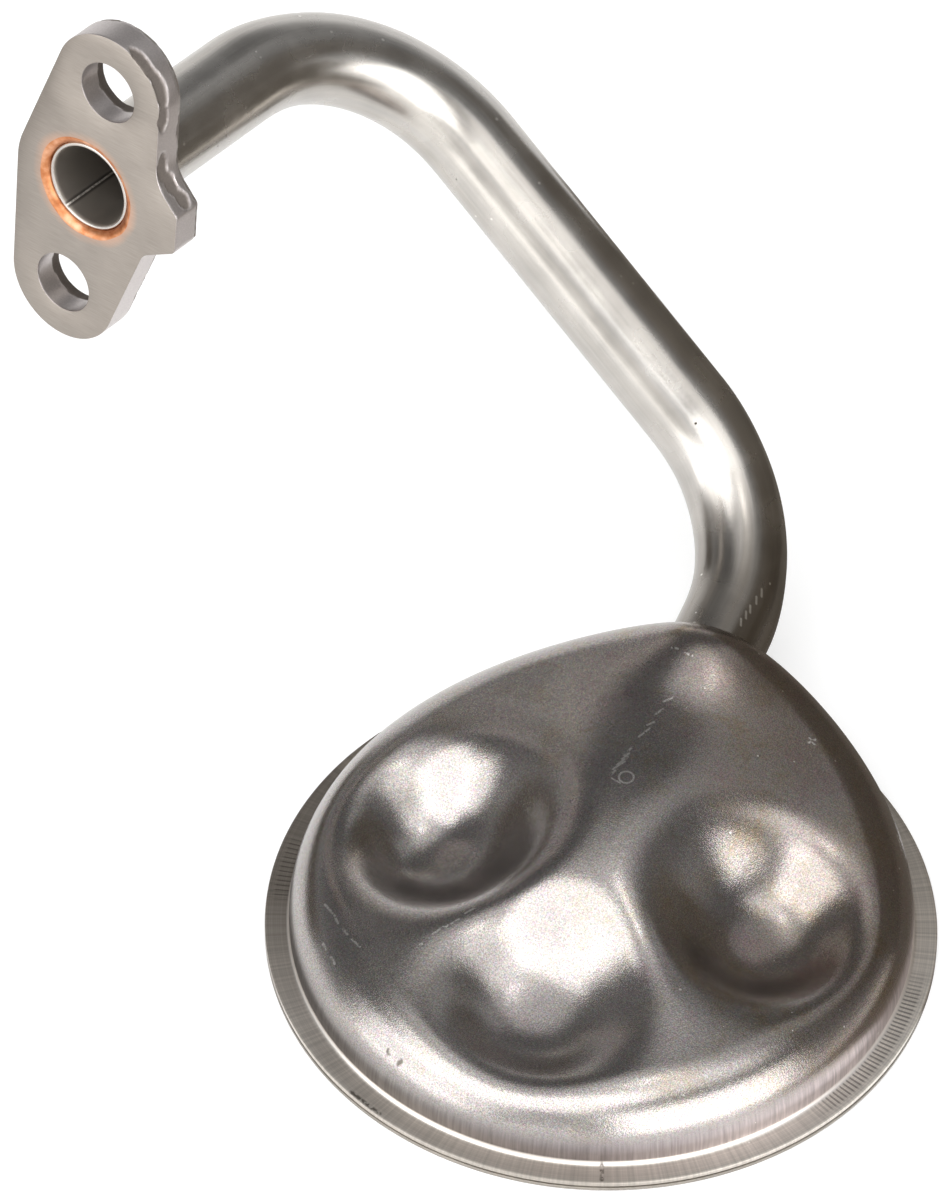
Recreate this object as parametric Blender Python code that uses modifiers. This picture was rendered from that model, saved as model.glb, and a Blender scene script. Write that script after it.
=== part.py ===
"""Oil pickup tube: a stamped mounting flange brazed to a bent steel tube, whose other end is
brazed into the hood of a drawn strainer housing with a wire screen behind a spoked retainer.

Metres, +Z up. The origin is the centre of the strainer's underside, which lies on Z = 0.
The mounting flange faces -Y, tipped up a little.
"""

import math

import bmesh
import bpy
from mathutils import Matrix, Vector

MM = 0.001
CLEARANCE = 0.3 * MM
OVERSHOOT = 1.0 * MM
WELD_DISTANCE = 0.01 * MM
SHARP_ANGLE = math.radians(35.0)

# Pickup tube
TUBE_DIAMETER = 16.0 * MM
TUBE_WALL = 0.8 * MM
BEND_RADIUS = 33.5 * MM
FLANGE_STRAIGHT = 40.0 * MM
MIDDLE_STRAIGHT = 56.5 * MM
STRAINER_STRAIGHT = 19.5 * MM
TUBE_RECESS = 0.8 * MM
FLANGE_DROP = math.radians(8.0)
MIDDLE_AZIMUTH = math.radians(-2.5)
MIDDLE_DROP = math.radians(34.5)
STRAINER_AZIMUTH = math.radians(285.0)
STRAINER_DROP = math.radians(5.0)
TUBE_SIDES = 24
BEND_STEPS = 9

# Mounting flange
FLANGE_THICKNESS = 6.0 * MM
FLANGE_ROLL = math.radians(8.0)
BOLT_SPACING = 42.5 * MM
BOLT_HOLE_RADIUS = 5.35 * MM
LUG_RADIUS = 10.5 * MM
WAIST_RADIUS = 14.1 * MM
EAR_REACH = 18.7 * MM
EAR_ANGLE = math.radians(9.2)
EAR_TIP_WIDTH = 7.2 * MM
EAR_UPPER_FLARE = math.radians(45.0)
EAR_LOWER_FLARE = math.radians(30.0)
EAR_CORNER_RADIUS = 1.3 * MM
EAR_UPPER_ROOT = 7.0 * MM
EAR_LOWER_ROOT = 3.0 * MM
FLANGE_EDGE = 0.3 * MM
COUNTERSINK_WIDTH = 0.95 * MM
COUNTERSINK_DEPTH = 2.0 * MM
LUG_STEPS = 16
WAIST_STEPS = 6
EAR_STEPS = 4
HOLE_SIDES = 40

# Strainer housing
SHEET = 0.9 * MM
WALL_RADIUS = 51.0 * MM
RIM_WIDTH = 4.0 * MM
WALL_FILLET = 0.8 * MM
SHOULDER_RADIUS = 9.2 * MM
LID_HEIGHT = 12.2 * MM
HOOD_AZIMUTH = math.radians(103.0)
HOOD_RISE = 13.2 * MM
HOOD_START = -60.0 * MM
HOOD_FULL = 15.0 * MM
HOOD_SPREAD = 30.5 * MM
HOOD_POWER = 1.7
CREST_RADIUS = 3.0 * MM
BROW_RISE = 3.5 * MM
BROW_REACH = 41.4 * MM
BROW_LENGTH = 8.2 * MM
BROW_WIDTH = 11.3 * MM
# Each dimple: distance from the housing's centre, azimuth, depth
DIMPLES = [
    (26.1 * MM, math.radians(199.5), 10.6 * MM),
    (28.1 * MM, math.radians(286.1), 7.5 * MM),
    (26.9 * MM, math.radians(14.4), 9.1 * MM),
]
DIMPLE_RADIUS = 14.3 * MM
DIMPLE_POWER = 3.0
TUBE_END_RADIUS = 37.6 * MM
TUBE_END_AZIMUTH = math.radians(105.9)
TUBE_END_HEIGHT = 13.2 * MM
HOUSING_SEGMENTS = 64
LID_RINGS = 13
SHOULDER_STEPS = 7
FILLET_STEPS = 3

# Braze rings
BRAZE_WIDTH = 0.7 * MM
BRAZE_REACH = 0.5 * MM

# Screen and its retainer
RETAINER_THICKNESS = 0.6 * MM
RETAINER_RING_WIDTH = 10.5 * MM
HUB_RADIUS = 9.0 * MM
SPOKE_COUNT = 6
SPOKE_WIDTH = 5.0 * MM
WINDOW_CORNER = 2.0 * MM
WINDOW_CORNER_STEPS = 3
WINDOW_ARC_STEPS = 10
SCREEN_THICKNESS = 0.6 * MM
SCREEN_PITCH = 7.1 * MM
SCREEN_BAR = 3.3 * MM
SCREEN_EDGE_BAND = 4.0 * MM

# Finishes: name, colour and roughness
FLANGE_STEEL = ("ground_flange_steel", (0.46, 0.43, 0.39), 0.42)
TUBE_STEEL = ("drawn_tube_steel", (0.36, 0.34, 0.32), 0.3)
HOUSING_STEEL = ("drawn_housing_steel", (0.30, 0.28, 0.27), 0.35)
RETAINER_STEEL = ("retainer_sheet_steel", (0.38, 0.36, 0.34), 0.4)
SCREEN_STEEL = ("screen_wire_steel", (0.42, 0.40, 0.38), 0.35)
FLANGE_COPPER = ("braze_copper", (0.83, 0.47, 0.29), 0.4)
HOUSING_COPPER = ("braze_copper_fillet", (0.80, 0.45, 0.28), 0.45)


def clear_scene():
    for obj in list(bpy.data.objects):
        bpy.data.objects.remove(obj)


def new_collection(name):
    collection = bpy.data.collections.new(name)
    bpy.context.scene.collection.children.link(collection)
    return collection


def metal(name, colour, roughness):
    material = bpy.data.materials.new(name)
    material.use_nodes = True
    shader = material.node_tree.nodes["Principled BSDF"]
    shader.inputs["Base Color"].default_value = (*colour, 1.0)
    shader.inputs["Roughness"].default_value = roughness
    shader.inputs["Metallic"].default_value = 1.0
    return material


def add_object(name, mesh, collection, material=None):
    obj = bpy.data.objects.new(name, mesh)
    collection.objects.link(obj)
    if material:
        mesh.materials.clear()
        mesh.materials.append(material)
        mesh.shade_smooth()
        mesh.set_sharp_from_angle(angle=SHARP_ANGLE)
    return obj


def evaluated_mesh(obj):
    """The object's shape with its modifiers applied, as a mesh with its seams welded."""
    bpy.context.view_layer.update()
    graph = bpy.context.evaluated_depsgraph_get()
    mesh = bpy.data.meshes.new_from_object(obj.evaluated_get(graph))
    shape = bmesh.new()
    shape.from_mesh(mesh)
    bmesh.ops.remove_doubles(shape, verts=shape.verts, dist=WELD_DISTANCE)
    shape.to_mesh(mesh)
    shape.free()
    return mesh


def become_mesh(obj, name, collection, material=None):
    """Replaces a curve or a built object with a plain mesh object at the same place."""
    made = add_object(name, evaluated_mesh(obj), collection, material)
    made.matrix_world = obj.matrix_world.copy()
    bpy.data.objects.remove(obj)
    return made


def as_cutter(obj):
    obj.hide_render = True
    obj.display_type = "WIRE"
    return obj


def cut(obj, cutter, operation="DIFFERENCE"):
    boolean = obj.modifiers.new(cutter.name, "BOOLEAN")
    boolean.operation = operation
    boolean.object = as_cutter(cutter)


def heading(azimuth, drop):
    """Unit vector along an azimuth from +X, falling by the drop angle."""
    level = math.cos(drop)
    return Vector((level * math.cos(azimuth), level * math.sin(azimuth), -math.sin(drop)))


def corner_setback(before, after, radius):
    """Distance from a corner to where its bend starts, between two unit directions of travel."""
    return radius * math.tan(before.angle(after) / 2)


def fillet(before, corner, after, radius, steps):
    """Points of the arc that rounds a corner between the points before and after it."""
    back = (before - corner).normalized()
    ahead = (after - corner).normalized()
    half = back.angle(ahead) / 2
    start = corner + back * radius / math.tan(half)
    end = corner + ahead * radius / math.tan(half)
    centre = corner + (back + ahead).normalized() * radius / math.sin(half)
    turn = math.pi - 2 * half
    points = []
    for step in range(steps + 1):
        share = step / steps
        arm = (start - centre) * math.sin((1 - share) * turn)
        arm += (end - centre) * math.sin(share * turn)
        points.append(centre + arm / math.sin(turn))
    return points


def rounded_outline(corners):
    """A closed outline from (point, radius, steps) corners; a corner with no radius stays a point."""
    outline = []
    for index, (corner, radius, steps) in enumerate(corners):
        if radius:
            before = corners[index - 1][0]
            after = corners[(index + 1) % len(corners)][0]
            outline += fillet(before, corner, after, radius, steps)
        else:
            outline.append(corner)
    return outline


def polar(radius, azimuth, height=0.0):
    return Vector((radius * math.cos(azimuth), radius * math.sin(azimuth), height))


def tube_route():
    """The tube's directions and corner points, worked out from its end in the hood to the flange."""
    first = heading(math.pi / 2, FLANGE_DROP)
    middle = heading(MIDDLE_AZIMUTH, MIDDLE_DROP)
    last = heading(STRAINER_AZIMUTH, STRAINER_DROP)
    upper_setback = corner_setback(first, middle, BEND_RADIUS)
    lower_setback = corner_setback(middle, last, BEND_RADIUS)
    end = polar(TUBE_END_RADIUS, TUBE_END_AZIMUTH, TUBE_END_HEIGHT)
    lower_corner = end - last * (STRAINER_STRAIGHT + lower_setback)
    upper_corner = lower_corner - middle * (upper_setback + MIDDLE_STRAIGHT + lower_setback)
    flange_centre = upper_corner - first * (FLANGE_STRAIGHT + upper_setback)
    return flange_centre, upper_corner, lower_corner, end


def flange_axes():
    """The flange's own X, Y and Z: across its bolts, along its bolts, and out of its face."""
    out = -heading(math.pi / 2, FLANGE_DROP)
    level = Vector((0, 0, 1)).cross(out).normalized()
    upright = out.cross(level)
    along = upright * math.cos(FLANGE_ROLL) + level * math.sin(FLANGE_ROLL)
    return along.cross(out), along, out


def flange_matrix():
    place = Matrix.Translation(tube_route()[0])
    return place @ Matrix(flange_axes()).transposed().to_4x4()


def poly_curve(name, outlines, collection, closed):
    """A curve object with one POLY spline for each list of points."""
    curve = bpy.data.curves.new(name, "CURVE")
    for outline in outlines:
        spline = curve.splines.new("POLY")
        spline.points.add(len(outline) - 1)
        for point, place in zip(spline.points, outline):
            point.co = (*place, 1.0)
        spline.use_cyclic_u = closed
    obj = bpy.data.objects.new(name, curve)
    collection.objects.link(obj)
    return obj


def swept_rod(name, route, radius, collection):
    """A solid round rod along a route, as a mesh."""
    rod = poly_curve(name + "_route", [route], collection, closed=False)
    rod.data.dimensions = "3D"
    rod.data.bevel_depth = radius
    rod.data.bevel_resolution = TUBE_SIDES // 2 - 2
    rod.data.use_fill_caps = True
    return become_mesh(rod, name, collection)


def flat_plate(name, outlines, thickness, collection):
    """A flat plate from closed outlines, its upper face on local Z = 0."""
    sheet = poly_curve(name + "_outline", outlines, collection, closed=True)
    sheet.data.dimensions = "2D"
    sheet.data.fill_mode = "BOTH"
    sheet.data.extrude = thickness / 2
    plate = become_mesh(sheet, name, collection)
    plate.data.transform(Matrix.Translation((0, 0, -thickness / 2)))
    return plate


def cylinder(name, radius, low, high, collection, top_radius=None, sides=HOLE_SIDES):
    """A cylinder, or a cone, along local Z from low to high."""
    shape = bmesh.new()
    bmesh.ops.create_cone(
        shape,
        cap_ends=True,
        segments=sides,
        radius1=radius,
        radius2=radius if top_radius is None else top_radius,
        depth=high - low,
    )
    bmesh.ops.translate(shape, verts=shape.verts, vec=(0, 0, (low + high) / 2))
    mesh = bpy.data.meshes.new(name)
    shape.to_mesh(mesh)
    shape.free()
    return add_object(name, mesh, collection)


def turned(name, profile, steps, collection, material=None):
    """Turns a profile of (radius, height) points, outer side from top to bottom, about local Z."""
    mesh = bpy.data.meshes.new(name + "_profile")
    points = [(radius, 0, height) for radius, height in profile]
    mesh.from_pydata(points, [(i, i + 1) for i in range(len(points) - 1)], [])
    blank = bpy.data.objects.new(name + "_profile", mesh)
    collection.objects.link(blank)
    screw = blank.modifiers.new("turn", "SCREW")
    screw.steps = screw.render_steps = steps
    screw.use_merge_vertices = True
    screw.merge_threshold = WELD_DISTANCE
    screw.use_normal_calculate = False
    return become_mesh(blank, name, collection, material)


def meet(start, flank, side):
    """Where a line from start along flank meets the waist's straight side, given by its normal."""
    return start + flank * (WAIST_RADIUS - side.dot(start)) / side.dot(flank)


def flange_outline():
    """Two bolt lugs on a wider waist, with the locating ear on one side."""
    half = BOLT_SPACING / 2
    slope = math.asin((WAIST_RADIUS - LUG_RADIUS) / half)
    apex = half + LUG_RADIUS / math.sin(slope)
    side = WAIST_RADIUS / math.cos(slope)
    ear = polar(1, EAR_ANGLE)
    across = Vector((-ear.y, ear.x, 0))
    upper_tip = ear * EAR_REACH + across * EAR_TIP_WIDTH / 2
    lower_tip = ear * EAR_REACH - across * EAR_TIP_WIDTH / 2
    upper_flank = -ear * math.cos(EAR_UPPER_FLARE) + across * math.sin(EAR_UPPER_FLARE)
    lower_flank = -ear * math.cos(EAR_LOWER_FLARE) - across * math.sin(EAR_LOWER_FLARE)
    upper_root = meet(upper_tip, upper_flank, polar(1, slope))
    lower_root = meet(lower_tip, lower_flank, polar(1, -slope))
    return rounded_outline(
        [
            (Vector((0, apex, 0)), LUG_RADIUS, LUG_STEPS),
            (Vector((-side, 0, 0)), WAIST_RADIUS, WAIST_STEPS),
            (Vector((0, -apex, 0)), LUG_RADIUS, LUG_STEPS),
            (lower_root, EAR_LOWER_ROOT, EAR_STEPS),
            (lower_tip, EAR_CORNER_RADIUS, EAR_STEPS),
            (upper_tip, EAR_CORNER_RADIUS, EAR_STEPS),
            (upper_root, EAR_UPPER_ROOT, EAR_STEPS),
        ]
    )


def make_mounting_flange(parts, cutters):
    flange = flat_plate("mounting_flange_blank", [flange_outline()], FLANGE_THICKNESS, parts)
    edge = flange.modifiers.new("edge", "BEVEL")
    edge.width = FLANGE_EDGE
    edge.limit_method = "ANGLE"
    edge.angle_limit = SHARP_ANGLE
    through = FLANGE_THICKNESS + OVERSHOOT
    bore_radius = TUBE_DIAMETER / 2 + CLEARANCE
    bore = cylinder("tube_bore_cutter", bore_radius, -through, OVERSHOOT, cutters)
    slope = COUNTERSINK_WIDTH / COUNTERSINK_DEPTH
    countersink = cylinder(
        "countersink_cutter",
        bore_radius - slope * OVERSHOOT,
        -COUNTERSINK_DEPTH - OVERSHOOT,
        OVERSHOOT,
        cutters,
        top_radius=bore_radius + COUNTERSINK_WIDTH + slope * OVERSHOOT,
    )
    tools = [bore, countersink]
    for name, height in (("upper", BOLT_SPACING / 2), ("lower", -BOLT_SPACING / 2)):
        cutter_name = name + "_bolt_hole_cutter"
        hole = cylinder(cutter_name, BOLT_HOLE_RADIUS, -through, OVERSHOOT, cutters)
        hole.location.y = height
        tools.append(hole)
    for tool in tools:
        cut(flange, tool)
    made = become_mesh(flange, "mounting_flange", parts, metal(*FLANGE_STEEL))
    made.matrix_world = flange_matrix()
    for tool in tools:
        tool.matrix_world = flange_matrix() @ tool.matrix_world
    return made


def make_flange_braze_ring(parts):
    """The copper that fills the countersink round the tube's end, just below the flange's face."""
    inner = TUBE_DIAMETER / 2 + CLEARANCE
    outer = inner + COUNTERSINK_WIDTH - CLEARANCE
    slope = COUNTERSINK_WIDTH / COUNTERSINK_DEPTH
    depth = (outer - inner) / slope
    top = -TUBE_RECESS / 2
    profile = [(inner, top), (outer + slope * top, top), (inner, -depth), (inner, top)]
    ring = turned("flange_braze_ring", profile, HOLE_SIDES, parts, metal(*FLANGE_COPPER))
    ring.matrix_world = flange_matrix()
    return ring


def make_pickup_tube(parts, cutters):
    flange_centre, upper_corner, lower_corner, end = tube_route()
    start = flange_centre + (upper_corner - flange_centre).normalized() * TUBE_RECESS
    bends = fillet(start, upper_corner, lower_corner, BEND_RADIUS, BEND_STEPS)
    bends += fillet(upper_corner, lower_corner, end, BEND_RADIUS, BEND_STEPS)
    tube = swept_rod("pickup_tube_blank", [start, *bends, end], TUBE_DIAMETER / 2, parts)
    outward = (start - upper_corner).normalized() * OVERSHOOT
    onward = (end - lower_corner).normalized() * OVERSHOOT
    bore_route = [start + outward, *bends, end + onward]
    bore_radius = TUBE_DIAMETER / 2 - TUBE_WALL
    cut(tube, swept_rod("pickup_tube_bore_cutter", bore_route, bore_radius, cutters))
    return become_mesh(tube, "pickup_tube", parts, metal(*TUBE_STEEL))


def smooth_step(share):
    share = min(max(share, 0.0), 1.0)
    return share * share * (3 - 2 * share)


def hood_rise(x, y):
    """Height of the hood above the plain lid: a long ridge with a brow over the tube."""
    along = x * math.cos(HOOD_AZIMUTH) + y * math.sin(HOOD_AZIMUTH)
    across = y * math.cos(HOOD_AZIMUTH) - x * math.sin(HOOD_AZIMUTH)
    share = smooth_step((along - HOOD_START) / (HOOD_FULL - HOOD_START))
    flank = math.hypot(across, CREST_RADIUS) - CREST_RADIUS
    ridge = HOOD_RISE * share * math.exp(-((flank / HOOD_SPREAD) ** HOOD_POWER))
    from_brow = math.hypot((along - BROW_REACH) / BROW_LENGTH, across / BROW_WIDTH)
    return ridge + BROW_RISE * math.exp(-(from_brow**2))


def dimple_depth(x, y):
    """Depth of the three pressed dimples, each with a soft lip and a round bottom."""
    depth = 0.0
    for reach, azimuth, deepest in DIMPLES:
        away = (Vector((x, y, 0)) - polar(reach, azimuth)).length
        depth += deepest * math.exp(-((away / DIMPLE_RADIUS) ** DIMPLE_POWER))
    return depth


def dome_profile(grow):
    """The plain dome's outer side from its centre down to the foot of its wall, grown outwards."""
    radius = WALL_RADIUS + grow
    shoulder = SHOULDER_RADIUS + grow
    height = LID_HEIGHT + grow
    lid_edge = radius - shoulder
    profile = [(lid_edge * ring / LID_RINGS, height) for ring in range(LID_RINGS)]
    for step in range(SHOULDER_STEPS + 1):
        angle = math.pi / 2 * (1 - step / SHOULDER_STEPS)
        out = lid_edge + shoulder * math.cos(angle)
        profile.append((out, height - shoulder * (1 - math.sin(angle))))
    return profile


def raise_dome(mesh):
    """Lifts the hood and presses the dimples in the turned dome; all above the wall's foot moves."""
    wall_top = LID_HEIGHT - SHOULDER_RADIUS
    for vertex in mesh.vertices:
        x, y, height = vertex.co
        if height > wall_top - CLEARANCE:
            vertex.co.z += hood_rise(x, y) - dimple_depth(x, y)


def dome_block(name, grow, cutters):
    """The dome's outside as a solid block, grown by an even amount."""
    profile = dome_profile(grow)
    profile.append((profile[-1][0], 0.0))
    profile.append((0.0, 0.0))
    block = turned(name, profile, HOUSING_SEGMENTS, cutters)
    raise_dome(block.data)
    return block


def rim_underside():
    return RETAINER_THICKNESS + CLEARANCE


def make_strainer_housing(parts, cutters):
    """One drawn sheet: dimpled lid, hood, round shoulder, wall and the flat rim at its foot."""
    rim_top = rim_underside() + SHEET
    profile = dome_profile(0.0)
    fillet_centre = Vector((WALL_RADIUS + WALL_FILLET, rim_top + WALL_FILLET))
    for step in range(FILLET_STEPS + 1):
        angle = math.pi * (1 + step / FILLET_STEPS / 2)
        arm = Vector((math.cos(angle), math.sin(angle))) * WALL_FILLET
        profile.append(tuple(fillet_centre + arm))
    profile.append((WALL_RADIUS + RIM_WIDTH, rim_top))
    housing = turned("strainer_housing_blank", profile, HOUSING_SEGMENTS, parts)
    raise_dome(housing.data)
    sheet = housing.modifiers.new("sheet", "SOLIDIFY")
    sheet.thickness = SHEET
    sheet.offset = -1
    sheet.use_even_offset = True
    _, _, lower_corner, end = tube_route()
    hole_radius = TUBE_DIAMETER / 2 + CLEARANCE
    cut(housing, swept_rod("hood_hole_cutter", [end, lower_corner], hole_radius, cutters))
    return become_mesh(housing, "strainer_housing", parts, metal(*HOUSING_STEEL))


def make_housing_braze_ring(parts, cutters):
    """The copper fillet on the tube where it enters the hood, following the hood's surface."""
    _, _, lower_corner, end = tube_route()
    inner_radius = TUBE_DIAMETER / 2 + CLEARANCE
    outer_radius = inner_radius + BRAZE_WIDTH
    ring = swept_rod("housing_braze_ring_blank", [end, lower_corner], outer_radius, parts)
    reach = (lower_corner - end).normalized() * OVERSHOOT
    passage = [end - reach, lower_corner + reach]
    cut(ring, swept_rod("braze_passage_cutter", passage, inner_radius, cutters))
    cut(ring, dome_block("braze_outer_block", CLEARANCE + BRAZE_REACH, cutters), "INTERSECT")
    cut(ring, dome_block("braze_inner_block", CLEARANCE, cutters))
    return become_mesh(ring, "housing_braze_ring", parts, metal(*HOUSING_COPPER))


def retainer_window(index):
    """The outline of one window between two spokes, the hub and the outer ring."""
    start = index * math.tau / SPOKE_COUNT
    end = start + math.tau / SPOKE_COUNT
    ring_radius = WALL_RADIUS + RIM_WIDTH - RETAINER_RING_WIDTH
    corners = []
    for radius, first, last in ((ring_radius, start, end), (HUB_RADIUS, end, start)):
        inset = math.asin(SPOKE_WIDTH / 2 / radius) * (1 if last > first else -1)
        for step in range(WINDOW_ARC_STEPS + 1):
            angle = first + inset + (last - first - 2 * inset) * step / WINDOW_ARC_STEPS
            at_corner = radius == ring_radius and step in (0, WINDOW_ARC_STEPS)
            rounding = WINDOW_CORNER if at_corner else 0
            corners.append((polar(radius, angle), rounding, WINDOW_CORNER_STEPS))
    return rounded_outline(corners)


def circle_outline(radius, steps):
    return [polar(radius, math.tau * step / steps) for step in range(steps)]


def make_screen_retainer(parts):
    """The stamped sheet under the rim that carries the screen on its ring, spokes and hub."""
    outlines = [circle_outline(WALL_RADIUS + RIM_WIDTH, HOUSING_SEGMENTS)]
    outlines += [retainer_window(index) for index in range(SPOKE_COUNT)]
    plate = flat_plate("screen_retainer_blank", outlines, RETAINER_THICKNESS, parts)
    plate.location.z = RETAINER_THICKNESS
    bpy.context.view_layer.update()
    return become_mesh(plate, "screen_retainer", parts, metal(*RETAINER_STEEL))


def make_wire_screen(parts):
    """The screen as a plate with square windows, the wire cloth's solid margin left round it."""
    radius = WALL_RADIUS - SHEET - CLEARANCE
    window = (SCREEN_PITCH - SCREEN_BAR) / 2
    reach = radius - SCREEN_EDGE_BAND
    count = int(reach // SCREEN_PITCH)
    outlines = [circle_outline(radius, HOUSING_SEGMENTS)]
    for column in range(-count, count + 1):
        for row in range(-count, count + 1):
            centre = Vector((column * SCREEN_PITCH, row * SCREEN_PITCH, 0))
            if centre.length + window * math.sqrt(2) < reach:
                signs = ((-1, -1), (1, -1), (1, 1), (-1, 1))
                outlines.append([centre + Vector((a * window, b * window, 0)) for a, b in signs])
    screen = flat_plate("wire_screen_blank", outlines, SCREEN_THICKNESS, parts)
    screen.location.z = rim_underside() + SCREEN_THICKNESS
    bpy.context.view_layer.update()
    return become_mesh(screen, "wire_screen", parts, metal(*SCREEN_STEEL))


def main():
    clear_scene()
    parts = new_collection("oil_pickup_tube")
    cutters = new_collection("cutters")
    make_mounting_flange(parts, cutters)
    make_flange_braze_ring(parts)
    make_pickup_tube(parts, cutters)
    make_strainer_housing(parts, cutters)
    make_housing_braze_ring(parts, cutters)
    make_screen_retainer(parts)
    make_wire_screen(parts)


main()
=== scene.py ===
"""Finished looks of an oil pickup tube with its strainer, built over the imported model.

Metres, +Z up, the strainer's underside on Z = 0 and the mounting flange facing -Y.
"""

import math

import bmesh
import bpy
import numpy as np
from bpy.props import FloatProperty, FloatVectorProperty, PointerProperty
from bpy.types import Operator, Panel, PropertyGroup
from mathutils import Matrix, Vector, noise


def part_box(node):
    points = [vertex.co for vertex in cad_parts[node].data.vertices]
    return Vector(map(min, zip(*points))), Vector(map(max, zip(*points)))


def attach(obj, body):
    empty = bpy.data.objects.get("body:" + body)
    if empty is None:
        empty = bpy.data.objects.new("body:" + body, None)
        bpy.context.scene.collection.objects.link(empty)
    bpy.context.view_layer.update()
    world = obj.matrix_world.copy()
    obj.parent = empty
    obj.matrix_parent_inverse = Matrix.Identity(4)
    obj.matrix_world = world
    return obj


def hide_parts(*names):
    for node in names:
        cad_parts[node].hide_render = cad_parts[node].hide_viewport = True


bl_info = {
    "name": "Oil Pickup Tube",
    "version": (1, 0, 0),
    "blender": (4, 5, 0),
    "location": "3D View > Sidebar > Pickup Tube",
    "description": "Builds a brazed steel oil pickup tube with its strainer",
    "category": "Add Mesh",
}

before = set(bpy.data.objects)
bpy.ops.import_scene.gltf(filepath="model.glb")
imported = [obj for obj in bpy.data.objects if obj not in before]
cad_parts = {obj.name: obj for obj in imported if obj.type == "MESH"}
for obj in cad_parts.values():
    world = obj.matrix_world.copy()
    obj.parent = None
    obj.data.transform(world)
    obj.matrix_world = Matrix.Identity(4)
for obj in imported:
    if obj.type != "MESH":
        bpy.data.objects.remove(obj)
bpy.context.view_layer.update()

MM = 0.001
GAP = 0.3 * MM
SHARP = math.radians(40)

# Tube route, from the flange to its end in the hood
FLANGE_STRAIGHT = 40.0 * MM
MIDDLE_STRAIGHT = 56.5 * MM
STRAINER_STRAIGHT = 19.5 * MM
TUBE_RECESS = 0.8 * MM
FLANGE_DROP = math.radians(8.0)
MIDDLE_AZIMUTH = math.radians(-2.5)
MIDDLE_DROP = math.radians(34.5)
STRAINER_AZIMUTH = math.radians(285.0)
STRAINER_DROP = math.radians(5.0)
TUBE_END_RADIUS = 37.6 * MM
TUBE_END_AZIMUTH = math.radians(105.9)
TUBE_END_HEIGHT = 13.2 * MM
TUBE_SIDES = 112
# Shares by which a bend is flattened across its plane and spread sideways
BEND_FLATTENING = 0.05
BEND_SPREAD = 0.015
# How fast a bend's flattening comes in from its ends
BEND_EASE = 3.5
SEAM_ANGLE = math.radians(168.8)
SEAM_HEIGHT = 0.22 * MM
SEAM_WIDTH = 0.45 * MM
# Brown heat tint: where it starts and where it is full, back from the hood
TINT_START = 52 * MM
TINT_FULL = 26 * MM

# Mounting flange
FLANGE_ROLL = math.radians(8.0)
LUG_RADIUS = 10.5 * MM
WAIST_RADIUS = 14.1 * MM
EAR_REACH = 18.7 * MM
EAR_ANGLE = math.radians(9.2)
EAR_TIP_WIDTH = 7.2 * MM
EAR_UPPER_FLARE = math.radians(45.0)
EAR_LOWER_FLARE = math.radians(30.0)
EAR_CORNER_RADIUS = 1.3 * MM
EAR_UPPER_ROOT = 7.0 * MM
EAR_LOWER_ROOT = 3.0 * MM
COUNTERSINK_WIDTH = 0.95 * MM
COUNTERSINK_DEPTH = 2.0 * MM
HOLE_SIDES = 96
GRINDING_ANGLE = math.radians(-100)
# Copper bloom on the face: where it is full and where it ends, by radius
BLOOM_BAND = (8.8 * MM, 11.6 * MM)
# Torn share of the bolt holes, against 1 on the outer edge; above 1 it also lays painted shade on the
# torn band inside the holes
HOLE_TEAR_AND_SHADE = 2
COPPER_SIDES = 144
COPPER_TONES = ((0.3, "#A86038"), (0.5, "#C6875E"), (0.7, "#DCAA8A"))

# Strainer housing
WALL_FILLET = 0.8 * MM
SHOULDER_RADIUS = 9.2 * MM
HOOD_AZIMUTH = math.radians(103.0)
HOOD_START = -60.0 * MM
HOOD_FULL = 15.0 * MM
HOOD_SPREAD = 30.5 * MM
HOOD_POWER = 1.7
CREST_RADIUS = 3.0 * MM
BROW_RISE = 3.5 * MM
BROW_REACH = 41.4 * MM
BROW_LENGTH = 8.2 * MM
BROW_WIDTH = 11.3 * MM
# Rounding of the rim's edge: (inset, drop) of its two rings
RIM_ROUNDING = ((0.08 * MM, 0.05 * MM), (0.0, 0.2 * MM))
# Each dimple: distance from the housing's centre, azimuth, depth
DIMPLES = (
    (26.1 * MM, math.radians(199.5), 10.6 * MM),
    (28.1 * MM, math.radians(286.1), 7.5 * MM),
    (26.9 * MM, math.radians(14.4), 9.1 * MM),
)
DIMPLE_POWER = 3.0
HOUSING_SEGMENTS = 320
LID_RINGS = 72
WALL_RINGS = 8
FILLET_STEPS = 6
SHOULDER_STEPS = 24

# Screen retainer
RETAINER_THICKNESS = 0.6 * MM
RETAINER_RING_WIDTH = 10.5 * MM
HUB_RADIUS = 9.0 * MM
SPOKE_COUNT = 6
SPOKE_WIDTH = 5.0 * MM
WINDOW_CORNER = 2.0 * MM


def linear(code):
    """Linear colour of an sRGB hex code."""
    shares = [int(code[place : place + 2], 16) / 255 for place in (1, 3, 5)]
    return tuple(s / 12.92 if s <= 0.04045 else ((s + 0.055) / 1.055) ** 2.4 for s in shares)


def colour_prop(name, description, code):
    return FloatVectorProperty(
        name=name, description=description, default=linear(code), subtype="COLOR", min=0, max=1
    )


def length_prop(name, description, default):
    return FloatProperty(name=name, description=description, default=default, unit="LENGTH")


class TubeSettings(PropertyGroup):
    """Sizes and colours of the bent tube."""

    diameter: length_prop("Outer diameter", "Outside diameter of the drawn tube", 16.0 * MM)
    wall: length_prop("Wall", "Wall thickness of the tube", 0.8 * MM)
    bend_radius: length_prop("Bend radius", "Radius of both bends at the centre line", 33.5 * MM)
    steel: colour_prop("Steel", "Bare drawn steel", "#C6C2BD")
    tint: colour_prop("Heat tint", "Brown tint near the brazed hood", "#70665A")


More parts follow.
